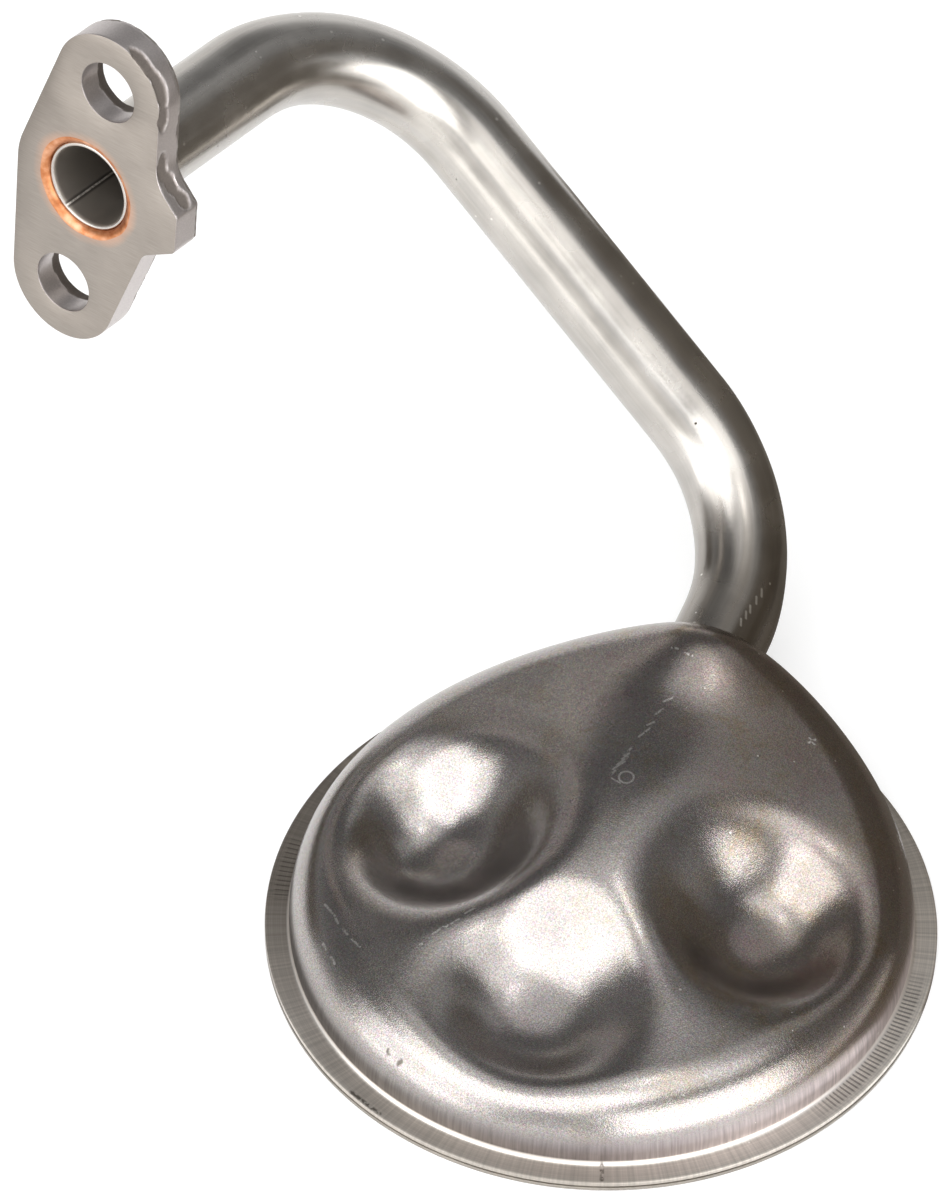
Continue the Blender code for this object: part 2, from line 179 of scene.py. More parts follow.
class FlangeSettings(PropertyGroup):
    """Sizes and colours of the mounting flange."""

    thickness: length_prop("Thickness", "Plate thickness", 6.0 * MM)
    bolt_spacing: length_prop("Bolt spacing", "Distance between the two bolt holes", 42.5 * MM)
    bolt_hole: length_prop("Bolt hole", "Diameter of each bolt hole", 10.7 * MM)
    face: colour_prop("Ground face", "Ground steel of the two faces", "#A09890")
    shear: colour_prop("Sheared edge", "Smooth part of the blanked edge", "#CFC8C6")
    torn: colour_prop("Torn edge", "Fractured part of the blanked edge", "#8C847E")
    copper: colour_prop("Braze copper", "Copper that joins flange and tube", "#DE8B62")


class StrainerSettings(PropertyGroup):
    """Sizes and colours of the drawn strainer housing."""

    sheet: length_prop("Sheet", "Thickness of the drawn sheet", 0.9 * MM)
    wall_radius: length_prop("Wall radius", "Outer radius of the upright wall", 51.0 * MM)
    rim_width: length_prop("Rim width", "Width of the flat rim outside the wall", 4.0 * MM)
    lid_height: length_prop("Lid height", "Height of the plain lid", 12.2 * MM)
    hood_rise: length_prop("Hood rise", "Height of the hood's ridge above the lid", 13.2 * MM)
    dimple_radius: length_prop("Dimple radius", "Radius of each pressed dimple", 14.3 * MM)
    steel: colour_prop("Steel", "Drawn steel of the lid and wall", "#ABA6A3")
    tint: colour_prop("Heat tint", "Brown tint round the hood", "#8F8072")


class ScreenSettings(PropertyGroup):
    """Sizes and colours of the wire screen and its retainer."""

    wire: length_prop("Wire", "Diameter of the screen's wire", 0.28 * MM)
    pitch: length_prop("Pitch", "Distance between neighbouring wires", 2.0 * MM)
    retainer: colour_prop("Retainer", "Pressed sheet under the screen", "#A19B93")
    steel: colour_prop("Wire steel", "Bare steel of the wire", "#B5B1AA")


class StudioSettings(PropertyGroup):
    """Floor, lamps and camera."""

    floor: colour_prop("Floor", "Plain pale floor", "#D4D4D4")
    lamps: FloatProperty(name="Lamps", description="Brightness of all lamps", default=1.0)
    distance: length_prop("Camera distance", "Distance from the strainer's foot", 1300.0 * MM)


# Shape helpers


def heading(azimuth, drop):
    """Unit vector along an azimuth from +X, falling by the drop angle."""
    level = math.cos(drop)
    return Vector((level * math.cos(azimuth), level * math.sin(azimuth), -math.sin(drop)))


def polar(radius, azimuth, height=0.0):
    return Vector((radius * math.cos(azimuth), radius * math.sin(azimuth), height))


def smooth_step(share):
    share = np.clip(share, 0.0, 1.0)
    return share * share * (3 - 2 * share)


def speckle(place, size):
    """Smooth random value from -1 to 1 that varies over the given size."""
    return noise.noise(Vector(place) / size)


def new_object(name, data):
    made = bpy.data.objects.new(name, data)
    bpy.context.scene.collection.objects.link(made)
    return made


def add_piece(name, mesh, material, node, matrix=None):
    """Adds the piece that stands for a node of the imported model."""
    if matrix:
        local = np.empty(len(mesh.vertices) * 3, np.float32)
        mesh.vertices.foreach_get("co", local)
        mesh.attributes.new("local", "FLOAT_VECTOR", "POINT").data.foreach_set("vector", local)
        mesh.transform(matrix)
    piece = new_object(name, mesh)
    mesh.materials.clear()
    mesh.materials.append(material)
    mesh.shade_smooth()
    mesh.set_sharp_from_angle(angle=SHARP)
    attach(piece, "root")
    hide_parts(node)


def loft(name, rings, attribute=None):
    """A closed skin through rings of equal count, the last ring joined back to the first."""
    count = len(rings[0])
    points = np.concatenate(rings)
    faces = []
    for ring in range(len(rings)):
        here = ring * count
        there = (ring + 1) % len(rings) * count
        for side in range(count):
            after = (side + 1) % count
            faces.append((here + side, here + after, there + after, there + side))
    mesh = bpy.data.meshes.new(name)
    mesh.from_pydata(points.tolist(), [], faces)
    if attribute:
        label, values = attribute
        layer = mesh.attributes.new(label, "FLOAT_VECTOR", "POINT")
        layer.data.foreach_set("vector", np.concatenate(values).ravel().astype(np.float32))
    shape = bmesh.new()
    shape.from_mesh(mesh)
    bmesh.ops.remove_doubles(shape, verts=shape.verts, dist=0.001 * MM)
    bmesh.ops.recalc_face_normals(shape, faces=shape.faces)
    shape.to_mesh(mesh)
    shape.free()
    return mesh


def fillet(before, corner, after, radius, spacing):
    """Points of the arc that rounds a corner between the points before and after it."""
    back = (before - corner).normalized()
    ahead = (after - corner).normalized()
    half = back.angle(ahead) / 2
    start = corner + back * radius / math.tan(half)
    end = corner + ahead * radius / math.tan(half)
    centre = corner + (back + ahead).normalized() * radius / math.sin(half)
    turn = math.pi - 2 * half
    steps = max(4, round(radius * turn / spacing))
    points = []
    for step in range(steps + 1):
        share = step / steps
        arm = (start - centre) * math.sin((1 - share) * turn)
        arm += (end - centre) * math.sin(share * turn)
        points.append(centre + arm / math.sin(turn))
    return points


def even_outline(corners, spacing):
    """A closed outline from (point, radius) corners, with points about a spacing apart."""
    loop = []
    for index, (corner, radius) in enumerate(corners):
        before = corners[index - 1][0]
        after = corners[(index + 1) % len(corners)][0]
        loop += fillet(before, corner, after, radius, spacing)
    outline = []
    for index, point in enumerate(loop):
        following = loop[(index + 1) % len(loop)]
        pieces = max(1, round((following - point).length / spacing))
        outline += [point.lerp(following, piece / pieces) for piece in range(pieces)]
    return outline


def circle(radius, count, centre=(0, 0)):
    return [polar(radius, math.tau * i / count) + Vector((*centre, 0)) for i in range(count)]


def loop_normals(loop):
    """Unit vectors out of a closed loop of points that runs counterclockwise."""
    tangents = [loop[(i + 1) % len(loop)] - loop[i - 1] for i in range(len(loop))]
    return [Vector((tangent.y, -tangent.x, 0)).normalized() for tangent in tangents]


def closed_plate(name, shape, walls):
    """The plate's mesh: faces down each wall's rings, and both sides filled."""
    sides = ([], [])
    for rings in walls:
        count = len(rings[0])
        for upper, lower in zip(rings, rings[1:]):
            for step in range(count):
                after = (step + 1) % count
                shape.faces.new((upper[step], upper[after], lower[after], lower[step]))
        for edges, ring in zip(sides, (rings[0], rings[-1])):
            for step in range(count):
                edges.append(shape.edges.get((ring[step], ring[(step + 1) % count])))
    for edges in sides:
        bmesh.ops.triangle_fill(shape, use_beauty=True, edges=edges)
    bmesh.ops.recalc_face_normals(shape, faces=shape.faces)
    mesh = bpy.data.meshes.new(name)
    shape.to_mesh(mesh)
    shape.free()
    return mesh


# Material helpers


def add_node(tree, kind, inputs=(), stops=(), **settings):
    """Adds a shader node; an input takes a value, a socket, or a node for its first output."""
    made = tree.nodes.new("ShaderNode" + kind)
    for key, value in settings.items():
        setattr(made, key, value)
    for key, value in dict(inputs).items():
        if isinstance(value, bpy.types.Node):
            value = value.outputs[0]
        if isinstance(value, bpy.types.NodeSocket):
            tree.links.new(value, made.inputs[key])
        else:
            made.inputs[key].default_value = value
    if stops:
        ramp = made.color_ramp.elements
        while len(ramp) < len(stops):
            ramp.new(0.5)
        for element, (place, value) in zip(ramp, stops):
            element.position = place
            element.color = (value, value, value, 1) if isinstance(value, float) else (*value, 1)
    return made


def cycles(size_mm):
    """Noise scale at which one cell is the given size in millimetres."""
    return 1000.0 / size_mm


def noise_node(tree, place, size_mm, detail, roughness=0.5):
    """Noise whose cells have the given size in millimetres."""
    scale = cycles(size_mm)
    inputs = {"Vector": place, "Scale": scale, "Detail": detail, "Roughness": roughness}
    return add_node(tree, "TexNoise", inputs)


def new_metal(name, colour, roughness):
    """A metal whose colour is its reflection at right angles; returns it, its tree and shader."""
    material = bpy.data.materials.new(name)
    material.use_nodes = True
    shader = material.node_tree.nodes["Principled BSDF"]
    shader.inputs["Base Color"].default_value = (*colour, 1)
    shader.inputs["Metallic"].default_value = 1.0
    shader.inputs["Roughness"].default_value = roughness
    return material, material.node_tree, shader


def link_surface(tree, shader, base, height, strength, depth_mm, rough=None):
    """Links a material's colour, its relief of the given depth and, if it varies, its roughness."""
    relief = {"Height": height, "Strength": strength, "Distance": depth_mm * MM}
    bump = add_node(tree, "Bump", relief)
    tree.links.new(base, shader.inputs["Base Color"])
    tree.links.new(bump.outputs[0], shader.inputs["Normal"])
    if rough is not None:
        tree.links.new(rough, shader.inputs["Roughness"])


def mixed(tree, share, first, second, blend="MIX"):
    """Socket of a colour mix, from the first colour to the second."""
    made = add_node(tree, "Mix", data_type="RGBA", blend_type=blend)
    for socket, value in ((0, share), (6, first), (7, second)):
        if isinstance(value, bpy.types.Node):
            value = value.outputs[0]
        if isinstance(value, bpy.types.NodeSocket):
            tree.links.new(value, made.inputs[socket])
        elif socket:
            made.inputs[socket].default_value = (*value[:3], 1)
        else:
            made.inputs[socket].default_value = value
    return made.outputs[2]


def dotted(tree, vector, direction):
    """Socket with a vector's reach along a direction."""
    made = add_node(tree, "VectorMath", {0: vector, 1: direction}, operation="DOT_PRODUCT")
    return made.outputs["Value"]


def ramped(tree, value, start, end, low=0.0, high=1.0):
    """Socket that runs from low to high while the value runs from start to end."""
    return add_node(tree, "MapRange", {0: value, 1: start, 2: end, 3: low, 4: high}).outputs[0]


def math_node(tree, operation, first, second=0.0):
    return add_node(tree, "Math", {0: first, 1: second}, operation=operation).outputs[0]


def times(tree, first, *others):
    """Socket of the product of masks and values."""
    for other in others:
        first = math_node(tree, "MULTIPLY", first, other)
    return first


def blended(tree, share, first, second):
    """Socket of a value that runs from the first to the second."""
    return add_node(tree, "Mix", {0: share, 2: first, 3: second}, data_type="FLOAT").outputs[0]


def toned(tree, base, texture, low, high):
    """The base colour times a tone that runs from low to high over most of a noise's range."""
    return mixed(tree, 1.0, base, ramped(tree, texture, 0.3, 0.7, low, high), "MULTIPLY")


def painted(tree, base, code, *masks):
    """The base colour, with another laid on where all the masks overlap."""
    return mixed(tree, times(tree, *masks), base, linear(code))


def colour_ramp(tree, value, tones):
    """Socket of the colour at a value, from (value, hex code) tones."""
    stops = [(place, linear(code)) for place, code in tones]
    return add_node(tree, "ValToRGB", {"Fac": value}, stops=stops).outputs[0]


def length_of(tree, vector):
    return add_node(tree, "VectorMath", {0: vector}, operation="LENGTH").outputs["Value"]


def near_stroke(tree, place, stroke, width):
    """Mask of a straight stroke (start and end in millimetres), 1 on its line."""
    start = Vector((stroke[0], stroke[1], 0)) * MM
    along = Vector((stroke[2], stroke[3], 0)) * MM - start
    offset = add_node(tree, "VectorMath", {0: place, 1: start}, operation="SUBTRACT")
    share = dotted(tree, offset, along / along.length_squared)
    share = add_node(tree, "Clamp", {0: share})
    foot = add_node(tree, "VectorMath", {0: along, "Scale": share}, operation="SCALE")
    away = add_node(tree, "VectorMath", {0: offset, 1: foot}, operation="DISTANCE")
    return ramped(tree, away.outputs["Value"], width * 0.4, width, 1.0, 0.0)


def flattened(tree, place):
    """The place as seen from above, with its height left out."""
    return add_node(tree, "VectorMath", {0: place, 1: (1.0, 1.0, 0.0)}, operation="MULTIPLY")


def broken_strokes(tree, place, strokes, width, patch, fade):
    """Mask of strokes, broken up by a noise (size in millimetres, detail) that fades them out."""
    mask = 0.0
    for stroke in strokes:
        mask = math_node(tree, "MAXIMUM", near_stroke(tree, place, stroke, width), mask)
    return times(tree, mask, ramped(tree, noise_node(tree, place, *patch), *fade))


def specks(tree, place, spacing, size, share):
    """Mask of round specks, one in some of the cells of the given spacing."""
    cells = add_node(tree, "TexVoronoi", {"Vector": place, "Scale": cycles(spacing)})
    chosen = add_node(tree, "SeparateXYZ", {0: cells.outputs["Color"]})
    edge = times(tree, chosen.outputs[1], size / spacing)
    spot = math_node(tree, "LESS_THAN", cells.outputs["Distance"], edge)
    return times(tree, spot, math_node(tree, "LESS_THAN", chosen.outputs[0], share))


# Tube route


def tube_route(settings):
    """The flange's centre, the corners of both bends and the tube's end in the hood."""
    first = heading(math.pi / 2, FLANGE_DROP)
    middle = heading(MIDDLE_AZIMUTH, MIDDLE_DROP)
    last = heading(STRAINER_AZIMUTH, STRAINER_DROP)
    upper_setback = settings.bend_radius * math.tan(first.angle(middle) / 2)
    lower_setback = settings.bend_radius * math.tan(middle.angle(last) / 2)
    end = polar(TUBE_END_RADIUS, TUBE_END_AZIMUTH, TUBE_END_HEIGHT)
    lower_corner = end - last * (STRAINER_STRAIGHT + lower_setback)
    upper_corner = lower_corner - middle * (upper_setback + MIDDLE_STRAIGHT + lower_setback)
    flange_centre = upper_corner - first * (FLANGE_STRAIGHT + upper_setback)
    return flange_centre, upper_corner, lower_corner, end


def flange_matrix(settings):
    """Place of the flange's own X across its bolts, Y along its bolts and Z out of its face."""
    out = -heading(math.pi / 2, FLANGE_DROP)
    level = Vector((0, 0, 1)).cross(out).normalized()
    along = out.cross(level) * math.cos(FLANGE_ROLL) + level * math.sin(FLANGE_ROLL)
    axes = Matrix((along.cross(out), along, out)).transposed().to_4x4()
    return Matrix.Translation(tube_route(settings)[0]) @ axes


def tube_stations(settings, spacing):
    """Places along the centre line: (point, tangent, inward direction, share of a bend)."""
    flange_centre, upper, lower, end = tube_route(settings)
    place = flange_centre + (upper - flange_centre).normalized() * TUBE_RECESS
    stations = []
    for before, corner, after in ((flange_centre, upper, lower), (upper, lower, end)):
        tangent = (corner - before).normalized()
        onward = (after - corner).normalized()
        turn = tangent.angle(onward)
        inward = (onward - tangent * tangent.dot(onward)).normalized()
        bend_start = corner - tangent * settings.bend_radius * math.tan(turn / 2)
        steps = round((bend_start - place).length / spacing)
        for step in range(steps):
            stations.append((place.lerp(bend_start, step / steps), tangent, inward, 0.0))
        centre = bend_start + inward * settings.bend_radius
        steps = round(settings.bend_radius * turn / spacing)
        for step in range(steps + 1):
            angle = turn * step / steps
            now = inward * math.cos(angle) - tangent * math.sin(angle)
            along = tangent * math.cos(angle) + inward * math.sin(angle)
            share = float(smooth_step(min(step, steps - step) / steps * BEND_EASE))
            stations.append((centre - now * settings.bend_radius, along, now, share))
        place = stations.pop()[0]
        tangent = onward
    steps = round((end - place).length / spacing)
    for step in range(steps + 1):
        stations.append((place.lerp(end, step / steps), tangent, now, 0.0))
    return stations


# Dome


def hood_rise(x, y, settings):
    """Height of the hood above the plain lid: a long ridge with a brow over the tube."""
    along = x * math.cos(HOOD_AZIMUTH) + y * math.sin(HOOD_AZIMUTH)
    across = y * math.cos(HOOD_AZIMUTH) - x * math.sin(HOOD_AZIMUTH)
    share = smooth_step((along - HOOD_START) / (HOOD_FULL - HOOD_START))
    flank = np.hypot(across, CREST_RADIUS) - CREST_RADIUS
    ridge = settings.hood_rise * share * np.exp(-((flank / HOOD_SPREAD) ** HOOD_POWER))
    from_brow = np.hypot((along - BROW_REACH) / BROW_LENGTH, across / BROW_WIDTH)
    return ridge + BROW_RISE * np.exp(-(from_brow**2))


def dimple_depth(x, y, settings):
    """Depth of the three pressed dimples, each with a soft lip and a round bottom."""
    depth = 0.0
    for reach, azimuth, deepest in DIMPLES:
        centre = polar(reach, azimuth)
        away = np.hypot(x - centre.x, y - centre.y) / settings.dimple_radius
        depth = depth + deepest * np.exp(-(away**DIMPLE_POWER))
    return depth


def dome_profile(settings):
    """(radius, height, share of the hood's rise) from the dome's centre to the wall's top."""
    height = settings.lid_height
    lid_edge = settings.wall_radius - SHOULDER_RADIUS
    profile = [(lid_edge * ring / LID_RINGS, height, 1.0) for ring in range(LID_RINGS)]
    for step in range(SHOULDER_STEPS + 1):
        angle = math.pi / 2 * (1 - step / SHOULDER_STEPS)
        out = lid_edge + SHOULDER_RADIUS * math.cos(angle)
        profile.append((out, height - SHOULDER_RADIUS * (1 - math.sin(angle)), 1.0))
    return profile


def dome_rings(settings, profile):
    """Rings of points for a profile, with the hood raised and the dimples pressed in."""
    angles = np.arange(HOUSING_SEGMENTS) * math.tau / HOUSING_SEGMENTS
    rings = []
    for radius, height, share in profile:
        x = radius * np.cos(angles)
        y = radius * np.sin(angles)
        rise = hood_rise(x, y, settings) - dimple_depth(x, y, settings)
        rings.append(np.stack([x, y, height + share * rise], axis=1))
    return np.array(rings)


def inner_rings(rings, thickness):
    """The same rings moved inwards along the surface's normals by a thickness."""
    down = np.gradient(rings, axis=0)
    down[0] = down[1]
    around = np.roll(rings, -1, axis=1) - np.roll(rings, 1, axis=1)
    around[0] = around[1]
    normals = np.cross(down, around)
    normals /= np.linalg.norm(normals, axis=2, keepdims=True)
    normals[0] = normals[0].mean(axis=0)
    normals *= np.sign(normals[1, 0, 2])
    return rings - normals * thickness


# Operators


class PICKUP_OT_mounting_flange(Operator):
    """Build the blanked and ground mounting flange"""

    bl_idname = "pickup.mounting_flange"
    bl_label = "Mounting flange"

    def execute(self, context):
        settings = context.scene.pickup_flange
        outer = flange_outline(settings)
        half = settings.bolt_spacing / 2
        bore = context.scene.pickup_tube.diameter / 2 + GAP
        holes = [
            (circle(settings.bolt_hole / 2, HOLE_SIDES, (0, half)), 0.0),
            (circle(settings.bolt_hole / 2, HOLE_SIDES, (0, -half)), 0.0),
            (circle(bore, TUBE_SIDES), COUNTERSINK_WIDTH),
        ]
        mesh = plate_mesh("mounting_flange", outer, holes, settings.thickness)
        matrix = flange_matrix(context.scene.pickup_tube)
        material = blanked_ground_steel(settings, matrix.col[2][:3])
        add_piece("blanked_mounting_flange", mesh, material, "mounting_flange", matrix)
        return {"FINISHED"}


def flange_outline(settings):
    """Two bolt lugs on a wider waist, with the locating ear on one side."""
    half = settings.bolt_spacing / 2
    slope = math.asin((WAIST_RADIUS - LUG_RADIUS) / half)
    apex = half + LUG_RADIUS / math.sin(slope)
    side = WAIST_RADIUS / math.cos(slope)
    ear = polar(1, EAR_ANGLE)
    across = Vector((-ear.y, ear.x, 0))
    upper_tip = ear * EAR_REACH + across * EAR_TIP_WIDTH / 2
    lower_tip = ear * EAR_REACH - across * EAR_TIP_WIDTH / 2
    upper_flank = -ear * math.cos(EAR_UPPER_FLARE) + across * math.sin(EAR_UPPER_FLARE)
    lower_flank = -ear * math.cos(EAR_LOWER_FLARE) - across * math.sin(EAR_LOWER_FLARE)
    roots = []
    for tip, flank, normal in (
        (upper_tip, upper_flank, polar(1, slope)),
        (lower_tip, lower_flank, polar(1, -slope)),
    ):
        roots.append(tip + flank * (WAIST_RADIUS - normal.dot(tip)) / normal.dot(flank))
    corners = [
        (Vector((0, apex, 0)), LUG_RADIUS),
        (Vector((-side, 0, 0)), WAIST_RADIUS),
        (Vector((0, -apex, 0)), LUG_RADIUS),
        (roots[1], EAR_LOWER_ROOT),
        (lower_tip, EAR_CORNER_RADIUS),
        (upper_tip, EAR_CORNER_RADIUS),
        (roots[0], EAR_UPPER_ROOT),
    ]
    return even_outline(corners, 0.35 * MM)


def edge_levels(thickness):
    """(depth below the face, inset) of the rings down a blanked edge."""
    steps = [(0.5 + 0.35 * step) * MM for step in range(15)]
    return [
        (0.0, 0.16 * MM),
        (0.05 * MM, 0.05 * MM),
        (0.16 * MM, 0.0),
        *[(depth, 0.0) for depth in steps],
        (thickness - 0.25 * MM, 0.03 * MM),
        (thickness, 0.3 * MM),
    ]


# Torn patches of the outer edge: x, y, half length and depth below the face, in millimetres
TORN_PATCHES = (
    (4.6, 30.5, 3.6, 0.9),
    (8.4, 27.3, 4.6, 1.4),
    (10.6, 22.4, 3.0, 1.2),
    (12.4, 12.6, 3.4, 1.6),
    (13.6, 9.4, 2.6, 2.6),
    (16.2, 7.6, 2.0, 3.2),
    (-6.0, -29.0, 3.0, 3.8),
    (-13.0, 6.0, 2.5, 3.2),
)
# Depth at which the torn zone starts, on the outer edge and in the bolt holes, in millimetres
TEAR_DEPTH = 5.1
HOLE_TEAR_DEPTH = 3.9


def fracture(place, depth, outside):
    """(share, inset) of the torn zone at a depth of the edge; its border wanders up and down."""
    wander = 0.5 * speckle(place, 4 * MM) + 0.25 * speckle(place, 1.3 * MM)
    border = (TEAR_DEPTH if outside else HOLE_TEAR_DEPTH) + wander
    share = float(smooth_step((depth / MM - border) / 0.4))
    rough = 0.16 + 0.08 * speckle((place[0], place[1], depth), 0.9 * MM)
    if outside:
        for x, y, half, middle in TORN_PATCHES:
            aside = math.hypot(place[0] / MM - x, place[1] / MM - y) / half
            near = math.hypot(aside, (depth / MM - middle) / 1.4)
            near += 0.1 * speckle((place[0], place[1], depth), 1.0 * MM)
            patch = float(smooth_step((1.0 - near) / 0.2))
            share = max(share, patch)
            rough = max(rough, 0.3 * patch * (1 + 0.3 * speckle(place, 0.8 * MM)))
    return share, share * rough * MM


def plate_mesh(name, outer, holes, thickness):
    """A plate from an outline and holes, its face on Z = 0, with blanked edges all round."""
    shape = bmesh.new()
    torn = shape.verts.layers.float.new("torn")
    walls = []
    for loop, countersink in [(outer, 0.0), *holes]:
        outside = loop is outer
        normals = loop_normals(loop)
        rings = []
        for depth, inset in edge_levels(thickness):
            ring = []
            for point, normal in zip(loop, normals):
                share, rough = fracture(point, depth, outside)
                if countersink:
                    share = 0.0
                    inset_here = countersink * max(0.0, 1 - depth / COUNTERSINK_DEPTH)
                else:
                    inset_here = inset + rough
                place = point - normal * inset_here * (1 if outside else -1)
                vertex = shape.verts.new((place.x, place.y, -depth))
                vertex[torn] = share if outside else HOLE_TEAR_AND_SHADE * share
                ring.append(vertex)
            rings.append(ring)
        walls.append(rings)
    return closed_plate(name, shape, walls)


def blanked_ground_steel(settings, out):
    """Mild steel plate, blanked and ground.

    The eye gets a warm light grey face with fine grinding lines across it, a smooth bright band
    along the front of each edge and a darker torn band behind it, darkest in the bolt holes,
    where painted shade is laid on it.
    """
    material, tree, shader = new_metal("blanked_ground_mild_steel", settings.face, 0.42)
    place = add_node(tree, "Attribute", attribute_name="local").outputs["Vector"]
    turned = add_node(tree, "Mapping", {"Vector": place, "Rotation": (0, 0, GRINDING_ANGLE)})
    stretched = add_node(tree, "Mapping", {"Vector": turned, "Scale": (1, 0.04, 1)})
    lines = noise_node(tree, stretched, 0.16, 3.0)
    blotch = noise_node(tree, place, 6, 4.0)
    grit = noise_node(tree, place, 0.3, 2.0)
    torn = add_node(tree, "Attribute", attribute_name="torn").outputs["Fac"]
    normal = add_node(tree, "NewGeometry").outputs["Normal"]
    on_face = math_node(tree, "GREATER_THAN", dotted(tree, normal, out), 0.8)
    ground = toned(tree, settings.face, lines, 0.9, 1.06)
    ground = toned(tree, ground, blotch, 0.95, 1.03)
    # The furnace left a copper bloom on the face round the braze.
    edge = ramped(tree, length_of(tree, place), *BLOOM_BAND, 1.0, 0.0)
    bloom = ramped(tree, times(tree, edge, blotch), 0.12, 0.5, 0.0, 0.5)
    ground = painted(tree, ground, "#DDA888", bloom)
    cut = mixed(tree, ramped(tree, torn, 0, 1), settings.shear, settings.torn)
    # Painted shade on the torn band inside the bolt holes.
    cut = painted(tree, cut, "#7A726C", ramped(tree, torn, 1, HOLE_TEAR_AND_SHADE))
    cut = mixed(tree, 1.0, cut, ramped(tree, grit, 0.35, 0.65, 0.93, 1.05), "MULTIPLY")
    base = mixed(tree, on_face, cut, ground)
    rough = blended(tree, on_face, ramped(tree, torn, 0, 1, 0.4, 0.72), 0.42)
    relief = blended(tree, on_face, grit, lines)
    link_surface(tree, shader, base, relief, 0.6, 0.02, rough)
    return material


class PICKUP_OT_flange_braze(Operator):
    """Build the copper fillet round the tube's mouth"""

    bl_idname = "pickup.flange_braze"
    bl_label = "Flange braze"

    def execute(self, context):
        radius = context.scene.pickup_tube.diameter / 2
        outer = radius + GAP + COUNTERSINK_WIDTH
        # Radius, height and share of the ragged edge's wander, round the fillet's section
        profile = [
            (outer + 0.1 * MM, 0.015 * MM, 1.0),
            (outer - 0.1 * MM, 0.0, 1.0),
            (outer - 0.45 * MM, -0.12 * MM, 0.6),
            (radius + 0.55 * MM, -0.3 * MM, 0.3),
            (radius + 0.25 * MM, -0.55 * MM, 0.1),
            (radius + 0.04 * MM, -0.9 * MM, 0.0),
            (radius + 0.04 * MM, -1.9 * MM, 0.0),
            (radius + 0.24 * MM, -1.9 * MM, 0.0),
            (outer - 0.06 * MM, -0.1 * MM, 0.5),
        ]
        rings = []
        for out, height, share in profile:
            ring = []
            for step in range(COPPER_SIDES):
                angle = math.tau * step / COPPER_SIDES
                wander = 0.22 * MM * speckle(polar(9 * MM, angle), 3.5 * MM) * share
                ring.append(polar(out + wander, angle, height))
            rings.append(np.array(ring))
        mesh = loft("flange_braze_ring", rings)
        material = furnace_copper("furnace_brazed_copper", context.scene.pickup_flange.copper)
        matrix = flange_matrix(context.scene.pickup_tube)
        add_piece("flange_copper", mesh, material, "flange_braze_ring", matrix)
        return {"FINISHED"}


def furnace_copper(name, colour):
    """Copper that ran into the joint as it was brazed in a furnace.

    The eye gets a satin metal in small patches from peach to deep orange.
    """
    material, tree, shader = new_metal(name, colour, 0.42)
    place = add_node(tree, "TexCoord").outputs["Object"]
    base = colour_ramp(tree, noise_node(tree, place, 2.2, 5.0), COPPER_TONES)
    link_surface(tree, shader, base, noise_node(tree, place, 0.4, 3.0), 0.5, 0.03)
    return material


class PICKUP_OT_pickup_tube(Operator):
    """Build the drawn tube with its two bends, its bore and its rounded mouth"""

    bl_idname = "pickup.pickup_tube"
    bl_label = "Pickup tube"

    def execute(self, context):
        settings = context.scene.pickup_tube
        stations = tube_stations(settings, 1.0 * MM)
        outer = settings.diameter / 2
        inner = outer - settings.wall
        side = stations[0][1].orthogonal().normalized()
        frames = []
        travelled = 0.0
        for index, (point, tangent, inward, share) in enumerate(stations):
            if index:
                before = stations[index - 1]
                side.rotate(before[1].rotation_difference(tangent))
                travelled += (point - before[0]).length
            frames.append((point, tangent.copy(), side.copy(), inward, share, travelled))
        # Rounded mouth: place along the tube and cut from its radius, in millimetres
        lip = [(0.35, 0.0), (0.12, 0.1), (0.02, 0.25), (0.0, 0.4), (0.05, 0.6), (0.3, 0.8)]
        rings, values = [], []
        for offset, step in lip[::-1]:
            rings.append(tube_ring(frames[0], outer - step * MM, offset * MM, values))
        for entry in frames[1:]:
            rings.append(tube_ring(entry, outer, 0.0, values))
        for entry in frames[:0:-1]:
            rings.append(tube_ring(entry, inner, 0.0, values, seam=True))
        mesh = loft("pickup_tube", rings, ("straight", values))
        material = drawn_tube_steel(settings, travelled)
        add_piece("drawn_pickup_tube", mesh, material, "pickup_tube")
        return {"FINISHED"}


def tube_ring(entry, radius, offset, values, seam=False):
    """One ring of the tube, flattened a little in a bend; the bore carries its weld's seam."""
    point, tangent, side, inward, share, travelled = entry
    upright = tangent.cross(side)
    binormal = tangent.cross(inward)
    ring, straight = [], []
    for index in range(TUBE_SIDES):
        angle = math.tau * index / TUBE_SIDES
        arm = side * math.cos(angle) + upright * math.sin(angle)
        reach = radius
        if seam:
            near = math.remainder(angle - SEAM_ANGLE, math.tau) * radius
            reach -= SEAM_HEIGHT * math.exp(-((near / SEAM_WIDTH) ** 2))
        arm = arm * reach
        flat = binormal * arm.dot(binormal) * BEND_SPREAD - inward * arm.dot(inward) * BEND_FLATTENING
        ring.append(point + tangent * offset + arm + flat * share)
        straight.append((travelled + offset, reach * math.cos(angle), reach * math.sin(angle)))
    values.append(np.array(straight))
    return np.array(ring)


